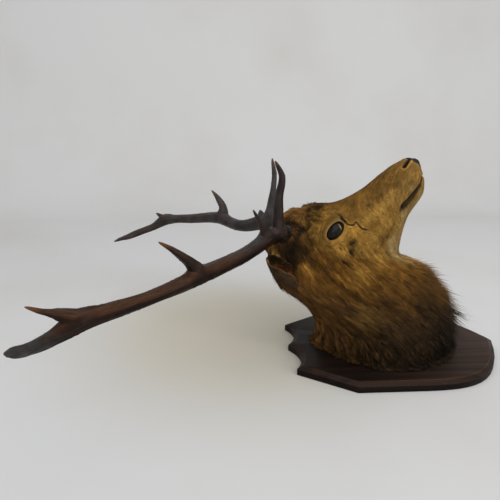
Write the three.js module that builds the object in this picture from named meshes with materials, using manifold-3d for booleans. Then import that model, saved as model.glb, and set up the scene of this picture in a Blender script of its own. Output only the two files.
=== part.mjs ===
// A red deer stag's head and neck, mounted on a shield of dark wood, at life size.
//
// Frame: millimetres, +Z up. The origin is the centre of the shield's flat back, which is
// also its underside here, because the mount lies on its back. -X is the scalloped crown
// of the shield (up, once it hangs), +X its rounded end, and -Y is the stag's right side.
//
// The head and neck are one loft through named sections, parted into pieces by thin cuts.
// The ears, eyes and antlers are separate pieces seated in pockets of that loft.

import * as THREE from "three";
import { mergeVertices } from "three/addons/utils/BufferGeometryUtils.js";
import Module from "manifold-3d";

const wasm = await Module();
wasm.setup();

// ---- Driving dimensions ----

const GAP = 0.3; // clearance between neighbouring pieces
const REACH = 700; // longer than anything a cutting tool has to pass through
const OVERRUN = 60; // how far a thin cut runs past both ends of its line, in all
const WELD = 1e-3; // vertices closer than this are one

const BOARD = {
  length: 468,
  width: 343,
  sideHeight: 13.5,
  chamferHeight: 6.5,
  chamferWidth: 10,
  shoulder: 112, // from the crown's peak back to the two shoulder corners
  cornerSetback: 5,
  cornerHalfWidth: 102,
  scallopDepth: 21,
  scallopCentre: 52,
  straightSide: 81, // behind the shoulders, before the sides draw in to the point
  sidePower: 4.2, // how late they draw in: 1 is straight to the point
  sideSteps: 16,
};
const BOARD_TOP = BOARD.sideHeight + BOARD.chamferHeight;

const RING_SEGMENTS = 28;
const STEPS_PER_SPAN = 3;
const ROUNDNESS = 0.86; // under 1, a ring is a little squarer than an ellipse
const CURVE_STEPS = 12; // straight pieces in each drawn curve
const WIDTH_TENSION = 0.5; // of the spline through the sections' half-widths

// Sections of the head and neck, from the nose to the board. Each has its top point (the
// forehead, then the nape) and its under point (the chin, then the throat) as [x, z], and
// its half-widths towards the top, at the middle and towards the under side.
const SECTIONS = [
  { name: "nose tip", top: [10, 424], under: [22, 415], widths: [10, 12, 10] },
  { name: "nostrils", top: [-1, 425], under: [27, 397], widths: [26, 27, 24] },
  { name: "lips", top: [-20, 418], under: [36, 370], widths: [29, 31, 26] },
  { name: "chin", top: [-50, 398], under: [32, 345], widths: [31, 34, 26] },
  { name: "muzzle", top: [-85, 368], under: [12, 312], widths: [34, 39, 30] },
  { name: "cheek front", top: [-113, 350], under: [3, 284], widths: [43, 45, 35] },
  { name: "eyes", top: [-143, 336], under: [-2, 255], widths: [63, 53, 40] },
  { name: "brow", top: [-178, 331], under: [-3, 234], widths: [74, 57, 44] },
  { name: "forehead", top: [-214, 323], under: [4, 221], widths: [68, 61, 48] },
  { name: "poll", top: [-250, 311], under: [14, 217], widths: [62, 66, 53] },
  { name: "back of head", top: [-276, 285], under: [32, 213], widths: [62, 72, 60] },
  { name: "nape", top: [-283, 242], under: [60, 196], widths: [63, 81, 72] },
  { name: "upper neck", top: [-280, 203], under: [85, 166], widths: [65, 92, 84] },
  { name: "waist", top: [-262, 161], under: [105, 132], widths: [66, 103, 93] },
  { name: "mane", top: [-214, 123], under: [117, 95], widths: [68, 116, 101] },
  { name: "lower mane", top: [-179, 81], under: [127, 58], widths: [74, 126, 107] },
  { name: "board", top: [-176, 20], under: [130, 20], widths: [80, 132, 112] },
];

// Swellings of the face, each pushed out sideways round its centre.
const SWELLINGS = [
  { name: "orbit", centre: [-159, 60, 297], radius: 34, height: 8 },
  { name: "cheek bone", centre: [-185, 64, 262], radius: 32, height: 4 },
  { name: "jaw muscle", centre: [-120, 52, 258], radius: 42, height: 3 },
  { name: "antler root", centre: [-240, 48, 288], radius: 27, height: 11 },
  { name: "upper lip", centre: [8, 26, 388], radius: 26, height: 3 },
  { name: "nostril wing", centre: [-6, 22, 417], radius: 13, height: 3 },
];

const NOSE_PAD = { centre: [9, 419], slope: -24, depth: 7 };
const JAW = {
  front: [45, 389], // where the mouth line leaves the lips
  bend: [8, 360],
  corner: [-17, 326],
  hinge: [-6, 304], // where the cut meets the one behind the muzzle
  room: 100, // how far the cutting tool reaches past the chin and the throat
};

// Straight cuts that part the flesh, each from the top side to the under side.
const CUTS = {
  muzzle: { from: [-88, 372], to: [7, 294] },
  neck: { from: [-268, 172], to: [-1, 240] },
  mane: { from: [-214, 117], to: [109, 117] },
};

const EYE = {
  segments: [16, 10], // round it and from pole to pole
  centre: [-159, 62, 293],
  halfLength: 22,
  halfHeight: 15.5,
  halfDepth: 13,
  tilt: 48, // of the long axis above the horizontal, front corner up
  faceForward: 10, // turn of the eye towards the nose
};

const EAR = {
  segments: [16, 11], // round the leaf and from root to tip
  base: [-226, 60, 183],
  tip: [-293, 104, 247],
  bow: 16, // how far the middle of the leaf bulges away from its opening
  openTowards: [0.78, 0.2, 0.75],
  halfWidth: 35,
  fullness: 0.65, // under 1, the leaf is broader than a spindle
  cupRadius: 22,
  thickness: 5,
  rootThickness: 22,
  rootTaper: 3, // how soon the thick root thins: 1 is evenly to the tip
  edgeShare: 0.5, // the tips' share that narrows to nothing in thickness
};

const BEAM_SEGMENTS = 12;
const TINE_SEGMENTS = 8;
const SPREAD = 20; // spacing of the thicknesses on their own curve, which keeps it smooth
const TIP_ROUNDING = 0.5; // the last ring of a branch, as a share of its thickness there
const KNIFE_RADIUS = 40;
const KNIFE_SEGMENTS = 16;

// Each branch of an antler is a path of [x, y, z] from root to tip, and its thickness at
// the same places. y is measured outwards from the middle of the head. The forks are the
// shares of the beam's length at which it parts into beam, upper beam and crown.
const RIGHT_ANTLER = {
  beam: {
    path: [
      [-217, 21, 282],
      [-273, 54, 281],
      [-334, 110, 260],
      [-413, 190, 248],
      [-486, 255, 236],
      [-565, 300, 224],
      [-610, 312, 206],
      [-655, 308, 182],
      [-693, 300, 172],
    ],
    thickness: [32, 31, 27, 28, 23, 27, 27, 25, 9],
  },
  forks: [0.48, 0.76],
  tines: {
    brow: {
      path: [
        [-268, 48, 288],
        [-267, 53, 355],
        [-263, 58, 397],
        [-276, 61, 427],
      ],
      thickness: [24, 17, 12.5, 4],
    },
    bez: {
      path: [
        [-285, 64, 276],
        [-304, 86, 314],
        [-319, 100, 342],
      ],
      thickness: [22, 12, 4],
    },
    trez: {
      path: [
        [-408, 184, 249],
        [-433, 208, 283],
        [-453, 220, 303],
        [-473, 228, 318],
      ],
      thickness: [24, 17, 10, 3.5],
    },
    crown: {
      path: [
        [-566, 300, 224],
        [-600, 317, 239],
        [-617, 325, 246],
        [-639, 335, 259],
      ],
      thickness: [23, 14, 10, 3.5],
    },
  },
};

const LEFT_ANTLER = {
  beam: {
    path: [
      [-217, 21, 284],
      [-275, 48, 286],
      [-337, 100, 267],
      [-392, 155, 274],
      [-460, 207, 261],
      [-520, 241, 250],
      [-567, 250, 228],
      [-615, 246, 211],
      [-662, 236, 196],
    ],
    thickness: [32, 34, 25, 26, 22, 22, 18, 14, 4],
  },
  forks: [0.48, 0.71],
  tines: {
    brow: {
      path: [
        [-275, 44, 290],
        [-271, 49, 335],
        [-266, 54, 385],
        [-270, 58, 422],
      ],
      thickness: [24, 15, 10.5, 4],
    },
    bez: {
      path: [
        [-284, 56, 282],
        [-292, 61, 300],
        [-295, 64, 311],
      ],
      thickness: [16, 10, 5],
    },
    trez: {
      path: [
        [-384, 148, 272],
        [-376, 144, 296],
        [-389, 158, 321],
        [-404, 170, 338],
      ],
      thickness: [24, 19, 12, 3.5],
    },
    crown: {
      path: [
        [-520, 240, 250],
        [-538, 248, 259],
        [-553, 255, 267],
      ],
      thickness: [17, 10, 4],
    },
  },
};

const SIDES = {
  right: { side: -1, antler: RIGHT_ANTLER },
  left: { side: 1, antler: LEFT_ANTLER },
};

// ---- Materials ----

const matt = (color, roughness) => {
  return new THREE.MeshStandardMaterial({ color, roughness, metalness: 0 });
};
const MATERIALS = {
  wood: matt(0x3a1d16, 0.35),
  coat: matt(0x7a5f34, 0.95),
  mane: matt(0x4e3a24, 0.95),
  noseLeather: matt(0x14110f, 0.45),
  eyeGlass: matt(0x0c0a08, 0.05),
  earSkin: matt(0x55402c, 0.9),
  antler: matt(0x3b2519, 0.55),
};

// ---- Solids ----

function solidOf(geometry) {
  geometry.deleteAttribute("normal");
  geometry.deleteAttribute("uv");
  const merged = mergeVertices(geometry, WELD);
  const mesh = new wasm.Mesh({
    numProp: 3,
    vertProperties: merged.attributes.position.array,
    triVerts: new Uint32Array(merged.index.array),
  });
  return new wasm.Manifold(mesh);
}

function geometryOf(solid) {
  const mesh = solid.getMesh();
  const positions = new Float32Array(mesh.numVert * 3);
  for (let i = 0; i < mesh.numVert; i += 1) {
    const start = i * mesh.numProp;
    positions.set(mesh.vertProperties.subarray(start, start + 3), i * 3);
  }
  const geometry = new THREE.BufferGeometry();
  geometry.setAttribute("position", new THREE.BufferAttribute(positions, 3));
  geometry.setIndex(new THREE.BufferAttribute(mesh.triVerts, 1));
  geometry.computeVertexNormals();
  return geometry;
}

// Moves every vertex of a geometry to where place(vertex) says.
function reshape(geometry, place) {
  const position = geometry.attributes.position;
  const vertex = new THREE.Vector3();
  for (let i = 0; i < position.count; i += 1) {
    vertex.fromBufferAttribute(position, i);
    const moved = place(vertex);
    position.setXYZ(i, moved.x, moved.y, moved.z);
  }
  return geometry;
}

// A closed body through rings: a cylinder whose every ring is laid out by ringPoint(along,
// angle), with along from 0 to 1 from its first ring to its last.
function loft(aroundCount, alongCount, ringPoint, endPoint) {
  const cylinder = new THREE.CylinderGeometry(1, 1, 1, aroundCount, alongCount);
  reshape(cylinder, (vertex) => {
    const along = 0.5 - vertex.y;
    if (Math.hypot(vertex.x, vertex.z) < 0.5) return endPoint(along);
    return ringPoint(along, Math.atan2(vertex.z, vertex.x));
  });
  return solidOf(cylinder);
}

const flip = (point, side) => new THREE.Vector3(point[0], point[1] * side, point[2]);

// ---- Board ----

function boardOutline() {
  const crown = -BOARD.length / 2;
  const shoulderX = crown + BOARD.shoulder;
  const halfWidth = BOARD.width / 2;
  const cornerX = crown + BOARD.cornerSetback;
  const sideStart = shoulderX + BOARD.straightSide;
  const scallopPull = crown + 2 * BOARD.scallopDepth - BOARD.cornerSetback / 2;
  const outline = new THREE.Shape();
  outline.moveTo(crown, 0);
  outline.quadraticCurveTo(scallopPull, BOARD.scallopCentre, cornerX, BOARD.cornerHalfWidth);
  outline.lineTo(shoulderX, halfWidth);
  for (let i = -BOARD.sideSteps; i <= BOARD.sideSteps; i += 1) {
    const run = 1 - Math.abs(i) / BOARD.sideSteps;
    const x = sideStart + (BOARD.length / 2 - sideStart) * run;
    outline.lineTo(x, -Math.sign(i) * halfWidth * (1 - run ** BOARD.sidePower));
  }
  outline.lineTo(shoulderX, -halfWidth);
  outline.lineTo(cornerX, -BOARD.cornerHalfWidth);
  outline.quadraticCurveTo(scallopPull, -BOARD.scallopCentre, crown, 0);
  return outline;
}

function boardSolid() {
  const slab = new THREE.ExtrudeGeometry(boardOutline(), {
    depth: BOARD.sideHeight,
    curveSegments: CURVE_STEPS,
    bevelThickness: BOARD.chamferHeight,
    bevelSize: BOARD.chamferWidth,
    bevelOffset: -BOARD.chamferWidth,
    bevelSegments: 1,
  });
  const below = new THREE.BoxGeometry(REACH, REACH, 2 * BOARD.chamferHeight);
  below.translate(0, 0, -BOARD.chamferHeight);
  return solidOf(slab).subtract(solidOf(below));
}

// ---- Head and neck ----

const curveThrough = (points) => new THREE.CatmullRomCurve3(points, false, "centripetal");

function headAndNeck() {
  const tops = curveThrough(SECTIONS.map((s) => new THREE.Vector3(s.top[0], 0, s.top[1])));
  const unders = curveThrough(SECTIONS.map((s) => new THREE.Vector3(s.under[0], 0, s.under[1])));
  const widths = new THREE.CatmullRomCurve3(
    SECTIONS.map((s) => new THREE.Vector3(...s.widths)),
    false,
    "catmullrom",
    WIDTH_TENSION,
  );
  const ringPoint = (along, angle) => {
    const top = tops.getPoint(along);
    const under = unders.getPoint(along);
    const [upper, middle, lower] = widths.getPoint(along).toArray();
    const towardsTop = Math.cos(angle);
    const corner = towardsTop > 0 ? upper : lower;
    const width = middle + (corner - middle) * towardsTop ** 2;
    const point = top.lerp(under, (1 - towardsTop) / 2);
    point.y = Math.sign(Math.sin(angle)) * width * Math.abs(Math.sin(angle)) ** ROUNDNESS;
    point.z = Math.max(point.z, BOARD_TOP + GAP);
    return swell(point);
  };
  const endPoint = (along) => {
    const point = tops.getPoint(along).lerp(unders.getPoint(along), 0.5);
    point.z = Math.max(point.z, BOARD_TOP + GAP);
    return point;
  };
  const alongCount = (SECTIONS.length - 1) * STEPS_PER_SPAN;
  return loft(RING_SEGMENTS, alongCount, ringPoint, endPoint);
}

function swell(point) {
  const side = Math.sign(point.y);
  for (const swelling of SWELLINGS) {
    const away = point.distanceTo(flip(swelling.centre, side)) / swelling.radius;
    point.y += side * swelling.height * Math.exp(-(away ** 2));
  }
  return point;
}

// A thin upright sheet across the whole body, from one [x, z] to another.
function knife(from, to) {
  const run = Math.hypot(to[0] - from[0], to[1] - from[1]);
  const sheet = new THREE.BoxGeometry(run + OVERRUN, REACH, GAP);
  sheet.rotateY(-Math.atan2(to[1] - from[1], to[0] - from[0]));
  sheet.translate((from[0] + to[0]) / 2, 0, (from[1] + to[1]) / 2);
  return solidOf(sheet);
}

// Everything in front of the mouth line and under it, down to the throat.
function jawRegion(grow) {
  const { front, bend, corner, hinge, room } = JAW;
  const shape = new THREE.Shape();
  shape.moveTo(front[0] - grow, front[1] + grow);
  shape.quadraticCurveTo(bend[0] - grow, bend[1] + grow, corner[0] - grow, corner[1] + grow / 2);
  shape.lineTo(hinge[0] - grow, hinge[1]);
  shape.lineTo(hinge[0], hinge[1] - room);
  shape.lineTo(hinge[0] + room, hinge[1] - room);
  shape.lineTo(front[0] + room, front[1] + grow);
  const region = new THREE.ExtrudeGeometry(shape, {
    depth: REACH,
    bevelEnabled: false,
    curveSegments: CURVE_STEPS,
  });
  region.rotateX(Math.PI / 2);
  region.translate(0, REACH / 2, 0);
  return solidOf(region);
}

// A block beyond the nose pad's back face, which lies along the front of the nose.
function nosePadRegion(grow) {
  const block = new THREE.BoxGeometry(REACH, REACH, REACH);
  block.translate(0, 0, REACH / 2 - NOSE_PAD.depth - grow);
  block.rotateY(-THREE.MathUtils.degToRad(NOSE_PAD.slope));
  block.translate(NOSE_PAD.centre[0], 0, NOSE_PAD.centre[1]);
  return solidOf(block);
}

// ---- Eyes and ears ----

function eyeSolid(side, grow) {
  const ball = new THREE.SphereGeometry(1, ...EYE.segments);
  ball.scale(EYE.halfLength + grow, EYE.halfDepth + grow, EYE.halfHeight + grow);
  ball.rotateY(-THREE.MathUtils.degToRad(EYE.tilt));
  ball.rotateZ(-side * THREE.MathUtils.degToRad(EYE.faceForward));
  ball.translate(...flip(EYE.centre, side).toArray());
  return solidOf(ball);
}

// A leaf from root to tip, bent across its width into a cup that opens to the side.
function earSolid(side, grow) {
  const base = flip(EAR.base, side);
  const along = flip(EAR.tip, side).sub(base);
  const length = along.length();
  along.normalize();
  const out = flip(EAR.openTowards, side);
  out.addScaledVector(along, -out.dot(along)).normalize();
  const across = new THREE.Vector3().crossVectors(along, out);
  const leaf = new THREE.SphereGeometry(1, ...EAR.segments);
  reshape(leaf, (vertex) => {
    const run = (vertex.y + 1) / 2;
    const ring = Math.max(Math.hypot(vertex.x, vertex.z), WELD);
    const breadth = vertex.x / ring;
    const depth = vertex.z / ring;
    const halfWidth = (EAR.halfWidth + grow) * Math.sin(Math.PI * run) ** EAR.fullness;
    const bend = (breadth * halfWidth) / EAR.cupRadius;
    const root = (EAR.rootThickness - EAR.thickness) * (1 - run) ** EAR.rootTaper;
    const rim = Math.min(1, ring / EAR.edgeShare);
    const lift = depth * rim * ((EAR.thickness + root) / 2 + grow);
    const place = base.clone().addScaledVector(along, run * (length + 2 * grow) - grow);
    place.addScaledVector(across, (EAR.cupRadius - lift) * Math.sin(bend));
    const sag = EAR.bow * Math.sin(Math.PI * run);
    const cup = EAR.cupRadius * (1 - Math.cos(bend)) + lift * Math.cos(bend);
    return place.addScaledVector(out, cup - sag);
  });
  return solidOf(leaf);
}

// ---- Antlers ----

// A round branch along a path, with a rounded tip.
function branchSolid({ path, thickness }, side, segments, grow) {
  const curve = curveThrough(path.map((point) => flip(point, side)));
  const radii = curveThrough(thickness.map((t, i) => new THREE.Vector3(t / 2, SPREAD * i, 0)));
  const steps = STEPS_PER_SPAN * (path.length - 1);
  const frames = curve.computeFrenetFrames(steps, false);
  const centre = (step) => {
    const lead = step === 0 ? -grow : 0;
    return curve.getPointAt(step / steps).addScaledVector(frames.tangents[step], lead);
  };
  const ringPoint = (along, angle) => {
    const step = Math.round(along * steps);
    const narrowing = step === steps ? TIP_ROUNDING : 1;
    const radius = radii.getPoint(curve.getUtoTmapping(along)).x * narrowing + grow;
    const point = centre(step);
    point.addScaledVector(frames.normals[step], radius * Math.cos(angle));
    return point.addScaledVector(frames.binormals[step], radius * Math.sin(angle));
  };
  const endPoint = (along) => centre(Math.round(along * steps));
  return loft(segments, steps, ringPoint, endPoint);
}

// A thin disc across a branch, at a share of its length.
function branchKnife({ path }, side, share) {
  const curve = curveThrough(path.map((point) => flip(point, side)));
  const disc = new THREE.CylinderGeometry(KNIFE_RADIUS, KNIFE_RADIUS, GAP, KNIFE_SEGMENTS);
  const turn = new THREE.Quaternion();
  turn.setFromUnitVectors(new THREE.Vector3(0, 1, 0), curve.getTangentAt(share));
  disc.applyQuaternion(turn);
  disc.translate(...curve.getPointAt(share).toArray());
  return solidOf(disc);
}

// Cuts a solid with thin tools into one body more than there are tools, in order of rank.
function parted(solid, tools, rank) {
  const bodies = tools.reduce((rest, tool) => rest.subtract(tool), solid).decompose();
  if (bodies.length !== tools.length + 1) {
    throw new Error(`a cut made ${bodies.length} bodies`);
  }
  return bodies.sort((a, b) => rank(a) - rank(b));
}

const byHeight = (solid) => -solid.boundingBox().max[2];
const bySpread = (solid) => -solid.boundingBox().max[0];

// The pieces of one antler, by name.
function antlerPieces(antler, side) {
  const knives = antler.forks.map((share) => branchKnife(antler.beam, side, share));
  const beam = branchSolid(antler.beam, side, BEAM_SEGMENTS, 0);
  const room = branchSolid(antler.beam, side, BEAM_SEGMENTS, GAP);
  const [lower, upper, crown] = parted(beam, knives, bySpread);
  const pieces = { beam: lower, upper_beam: upper, crown };
  for (const [name, tine] of Object.entries(antler.tines)) {
    pieces[`${name}_tine`] = branchSolid(tine, side, TINE_SEGMENTS, 0).subtract(room);
  }
  return pieces;
}

// The room that an antler's root and lowest tine take up in the head.
function antlerRoom(antler, side) {
  const root = branchSolid(antler.beam, side, BEAM_SEGMENTS, GAP);
  const { brow, bez } = antler.tines;
  return root
    .add(branchSolid(brow, side, TINE_SEGMENTS, GAP))
    .add(branchSolid(bez, side, TINE_SEGMENTS, GAP));
}

// ---- Assembly ----

const stag = new THREE.Group();

function addPiece(name, solid, material) {
  const mesh = new THREE.Mesh(geometryOf(solid), material.clone());
  mesh.name = name;
  stag.add(mesh);
}

let flesh = headAndNeck();
for (const [name, { side, antler }] of Object.entries(SIDES)) {
  for (const [piece, solid] of Object.entries(antlerPieces(antler, side))) {
    addPiece(`antler_${name}_${piece}`, solid, MATERIALS.antler);
  }
  addPiece(`eye_${name}`, eyeSolid(side, 0), MATERIALS.eyeGlass);
  addPiece(`ear_${name}`, earSolid(side, 0), MATERIALS.earSkin);
  flesh = flesh
    .subtract(antlerRoom(antler, side))
    .subtract(eyeSolid(side, GAP))
    .subtract(earSolid(side, GAP));
}

const cuts = Object.values(CUTS).map(({ from, to }) => knife(from, to));
const [front, head, neck, mane] = parted(flesh, cuts, byHeight);
const lowerJaw = front.intersect(jawRegion(0));
const upperFront = front.subtract(jawRegion(GAP));
addPiece("lower_jaw", lowerJaw, MATERIALS.coat);
addPiece("nose_pad", upperFront.intersect(nosePadRegion(0)), MATERIALS.noseLeather);
addPiece("muzzle", upperFront.subtract(nosePadRegion(GAP)), MATERIALS.coat);
addPiece("head", head, MATERIALS.coat);
addPiece("neck", neck, MATERIALS.mane);
addPiece("mane", mane, MATERIALS.mane);
addPiece("board", boardSolid(), MATERIALS.wood);

export default stag;
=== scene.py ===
"""A red deer stag's head and neck on a dark mahogany shield, at life size.

Frame: metres, +Z up. The origin is the centre of the shield's flat back, on which the mount
lies. -X is the shield's scalloped crown, +X its pointed end, and -Y the stag's right side.
The working tables are in millimetres, and mirrored places give y outwards from the middle.
"""

import math

import bpy
import numpy as np
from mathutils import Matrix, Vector
from mathutils.kdtree import KDTree


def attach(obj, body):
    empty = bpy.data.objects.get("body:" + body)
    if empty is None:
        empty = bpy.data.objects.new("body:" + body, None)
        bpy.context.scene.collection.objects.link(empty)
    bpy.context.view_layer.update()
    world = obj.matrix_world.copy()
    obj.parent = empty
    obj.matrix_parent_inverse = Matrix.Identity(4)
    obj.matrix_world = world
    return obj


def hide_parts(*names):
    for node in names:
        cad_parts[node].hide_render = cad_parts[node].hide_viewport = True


bl_info = {
    "name": "Red deer stag head mount",
    "version": (1, 0, 0),
    "blender": (4, 5, 0),
    "location": "3D View > Sidebar > Stag mount",
    "description": "Builds a stuffed red deer stag's head on its shield, piece by piece",
    "category": "Object",
}

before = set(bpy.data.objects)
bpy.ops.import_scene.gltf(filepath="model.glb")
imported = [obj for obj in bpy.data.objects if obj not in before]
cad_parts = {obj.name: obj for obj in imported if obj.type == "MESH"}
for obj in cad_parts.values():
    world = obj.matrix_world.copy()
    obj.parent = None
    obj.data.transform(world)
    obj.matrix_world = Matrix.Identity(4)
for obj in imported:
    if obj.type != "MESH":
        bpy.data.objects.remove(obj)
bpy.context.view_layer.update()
bpy.ops.object.select_all(action="DESELECT")

MM = 0.001
SEED = 1897
SIDES = (("left", 1), ("right", -1))


def linear(code):
    """The linear colour of an sRGB hex value such as "#6a4b22"."""
    parts = [int(code[i : i + 2], 16) / 255 for i in (1, 3, 5)]
    return tuple(c / 12.92 if c <= 0.04045 else ((c + 0.055) / 1.055) ** 2.4 for c in parts)


# ---- Sizes and colours that a user would change ----


def colour(name, code, description):
    return bpy.props.FloatVectorProperty(
        name=name, description=description, subtype="COLOR", size=3, min=0, max=1,
        default=linear(code),
    )


def size(name, metres, description):
    return bpy.props.FloatProperty(
        name=name, description=description, unit="LENGTH", min=0, default=metres
    )


def tally(name, count, description):
    return bpy.props.IntProperty(name=name, description=description, min=100, default=count)


def power(name, watts, description):
    return bpy.props.FloatProperty(
        name=name, description=description, unit="POWER", default=watts
    )


class StagCoatSettings(bpy.types.PropertyGroup):
    """Lengths, counts and colours of the hair."""

    face_hair: size("Face hair", 0.0065, "Length of the hair on the cheeks and muzzle")
    crest_hair: size("Crest hair", 0.017, "Length of the curly hair between the antlers")
    neck_hair: size("Neck hair", 0.024, "Length of the hair behind the jaw")
    mane_hair: size("Mane hair", 0.046, "Length of the hair over the shield")
    face_tufts: tally("Face tufts", 84000, "How many tufts cover the face and the crest")
    neck_tufts: tally("Neck tufts", 31000, "How many tufts cover the neck")
    mane_tufts: tally("Mane tufts", 52000, "How many locks hang in the mane")
    tan: colour("Tan", "#a8803c", "Ground colour of the cheeks")
    olive: colour("Olive", "#937039", "Muzzle and the ring round the eye")
    gold: colour("Gold", "#b8893c", "Bright hair before and under the eye")
    pale: colour("Pale", "#ccae74", "Lips, jaw and throat")
    rust: colour("Rust", "#896034", "Crest and the shaded side of the neck")
    brown: colour("Brown", "#78521f", "Neck")
    bronze: colour("Bronze", "#4c351c", "Mane")
    umber: colour("Umber", "#2f2314", "Lower mane and the hair behind the ears")
    # Black also paints the shade where the lower mane and throat meet the shield.
    black: colour("Black brown", "#16120d", "Darkest hair at throat and antler roots")


class StagHeadSettings(bpy.types.PropertyGroup):
    """Eyes, nose and ears."""

    eye_length: size("Eye length", 0.0434, "Length of the glass eye from corner to corner")
    lid_margin: size("Lid margin", 0.0022, "Thickness of the lids' rolled edge")
    glass: colour("Glass", "#1c130c", "Iris behind the glass")
    nose: colour("Nose leather", "#100e0d", "Bare skin of the nose")
    lid: colour("Lid edge", "#1e1812", "Bare edge of the lids")
    ear_inside: colour("Inside the ear", "#74401a", "Dried skin in the cup of the ear")
    ear_back: colour("Back of the ear", "#4a3826", "Short hair on the back of the ear")


class StagAntlerSettings(bpy.types.PropertyGroup):
    """Antlers."""

    ridge: size("Ridge height", 0.0006, "Height of the ridges along the beams")
    dark: colour("Dark antler", "#120b08", "Varnished hollows of the antlers")
    brown: colour("Brown antler", "#24140a", "Sides of the beams")
    # The worn colour also paints a highlight on the beams' sides that face up and towards -Y.
    warm: colour("Worn antler", "#47270b", "Rubbed upper sides of the beams")
    grey: colour("Grey antler", "#45413f", "Dusty surfaces near the burrs")
    # The grey also paints a sheen on surfaces that face up.
    tip: colour("Tine tips", "#6a4522", "Polished tips of the tines")


class StagBoardSettings(bpy.types.PropertyGroup):
    """Shield."""

    edge: size("Edge rounding", 0.0009, "Rounding of the shield's worn edges")
    dark: colour("Dark mahogany", "#15100c", "Dark bands of the grain")
    red: colour("Red mahogany", "#251812", "Light bands of the grain")
    worn: colour("Worn edge", "#633a2a", "Bare wood along rubbed edges")


class StagStageSettings(bpy.types.PropertyGroup):
    """Floor, light and camera."""

    paper: colour("Paper", "#e2e1df", "Pale paper that the mount lies on")
    lamp: power("Lamp", 5, "Power of the lamp overhead and of the small window")
    window: power("Window", 58, "Power of the wide window behind the camera")
    sky: bpy.props.FloatProperty(
        name="Room light", description="Strength of the light from all round", default=0.66
    )


class StagMountSettings(bpy.types.PropertyGroup):
    """All settings of the mount."""

    coat: bpy.props.PointerProperty(type=StagCoatSettings)
    head: bpy.props.PointerProperty(type=StagHeadSettings)
    antler: bpy.props.PointerProperty(type=StagAntlerSettings)
    board: bpy.props.PointerProperty(type=StagBoardSettings)
    stage: bpy.props.PointerProperty(type=StagStageSettings)


# ---- Meshes from arrays ----


def new_object(name, corners, quads, triangles=()):
    """An object at the origin from corners in millimetres and faces of four and three."""
    mesh = bpy.data.meshes.new(name)
    quads = np.asarray(quads, np.int32).reshape(-1, 4)
    triangles = np.asarray(triangles, np.int32).reshape(-1, 3)
    loops = np.concatenate([quads.ravel(), triangles.ravel()])
    counts = np.concatenate([np.full(len(quads), 4), np.full(len(triangles), 3)])
    mesh.vertices.add(len(corners))
    mesh.vertices.foreach_set("co", (np.asarray(corners) * MM).astype(np.float32).ravel())
    mesh.loops.add(len(loops))
    mesh.loops.foreach_set("vertex_index", loops.astype(np.int32))
    mesh.polygons.add(len(counts))
    starts = np.concatenate([[0], np.cumsum(counts)[:-1]])
    mesh.polygons.foreach_set("loop_start", starts.astype(np.int32))
    mesh.polygons.foreach_set("use_smooth", np.ones(len(counts), bool))
    mesh.update(calc_edges=True)
    if mesh.validate():
        raise RuntimeError(f"{name} has faces that can't be drawn")
    made = bpy.data.objects.new(name, mesh)
    bpy.context.scene.collection.objects.link(made)
    return made


def write_attribute(made, name, kind, field, values):
    attribute = made.data.attributes.new(name, kind, "POINT")
    attribute.data.foreach_set(field, np.asarray(values, np.float32).ravel())


def write_colours(made, name, colours):
    full = np.concatenate([colours, np.ones((len(colours), 1))], axis=1)
    write_attribute(made, name, "FLOAT_COLOR", "color", full)


def write_map(made, places):
    """The bake's map, from one place for each corner."""
    corner_of = np.empty(len(made.data.loops), np.int32)
    made.data.loops.foreach_get("vertex_index", corner_of)
    layer = made.data.uv_layers.new(name="OFBake")
    layer.uv.foreach_set("vector", places[corner_of].astype(np.float32).ravel())


def corners_of(made):
    """A mesh's corners in millimetres, and its directions there."""
    places = np.empty(len(made.data.vertices) * 3, np.float32)
    normals = np.empty_like(places)
    made.data.vertices.foreach_get("co", places)
    made.data.vertex_normals.foreach_get("vector", normals)
    return places.reshape(-1, 3) / MM, normals.reshape(-1, 3)


def move_corners(made, places):
    made.data.vertices.foreach_set("co", (places * MM).astype(np.float32).ravel())
    made.data.update()


def aimed(name, data, place, towards):
    """A camera or a lamp at a place, turned towards another."""
    made = bpy.data.objects.new(name, data)
    made.location = place
    away = Vector(towards) - Vector(place)
    made.rotation_euler = away.to_track_quat("-Z", "Y").to_euler()
    bpy.context.scene.collection.objects.link(made)
    return made


def select_only(made):
    bpy.ops.object.select_all(action="DESELECT")
    made.select_set(True)
    bpy.context.view_layer.objects.active = made


def apply(made, name, kind, **settings):
    """Adds a modifier to the selected piece and applies it."""
    modifier = made.modifiers.new(name, kind)
    for key, value in settings.items():
        setattr(modifier, key, value)
    bpy.ops.object.modifier_apply(modifier=modifier.name)


def grid_quads(rows, columns, first=0, flip=False):
    """Faces between rows of closed columns, whose corners start at a number."""
    i, j = np.meshgrid(np.arange(rows - 1), np.arange(columns), indexing="ij")
    n = (j + 1) % columns
    here, below = i * columns, (i + 1) * columns
    quads = np.stack([here + j, here + n, below + n, below + j], -1).reshape(-1, 4) + first
    return quads[:, ::-1] if flip else quads


def end_fans(rows, columns):
    """Faces from the first and the last row to the two poles that follow the rows' corners."""
    j = np.arange(columns)
    n = (j + 1) % columns
    poles = rows * columns
    last = poles - columns
    return np.concatenate(
        [
            np.stack([np.full(columns, poles), n, j], 1),
            np.stack([last + j, last + n, np.full(columns, poles + 1)], 1),
        ]
    )


def dress(made, material, slot, *nodes):
    """Gives a piece its material, hides the nodes that it replaces and hangs it on the root body."""
    made.data.materials.clear()
    made.data.materials.append(material)
    if nodes:
        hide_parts(*nodes)
    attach(made, "root")
    return made


# ---- Small mathematics ----


def unit(vectors):
    return vectors / np.maximum(np.linalg.norm(vectors, axis=-1, keepdims=True), 1e-9)


def smooth_step(low, high, x):
    share = np.clip((x - low) / (high - low), 0, 1)
    return share * share * (3 - 2 * share)


def bell(away, width, power=2):
    """1 at the middle, falling off past a width."""
    return np.exp(-((away / width) ** power))


def turns(count):
    """Angles round a circle."""
    return np.arange(count) / count * 2 * math.pi


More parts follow.
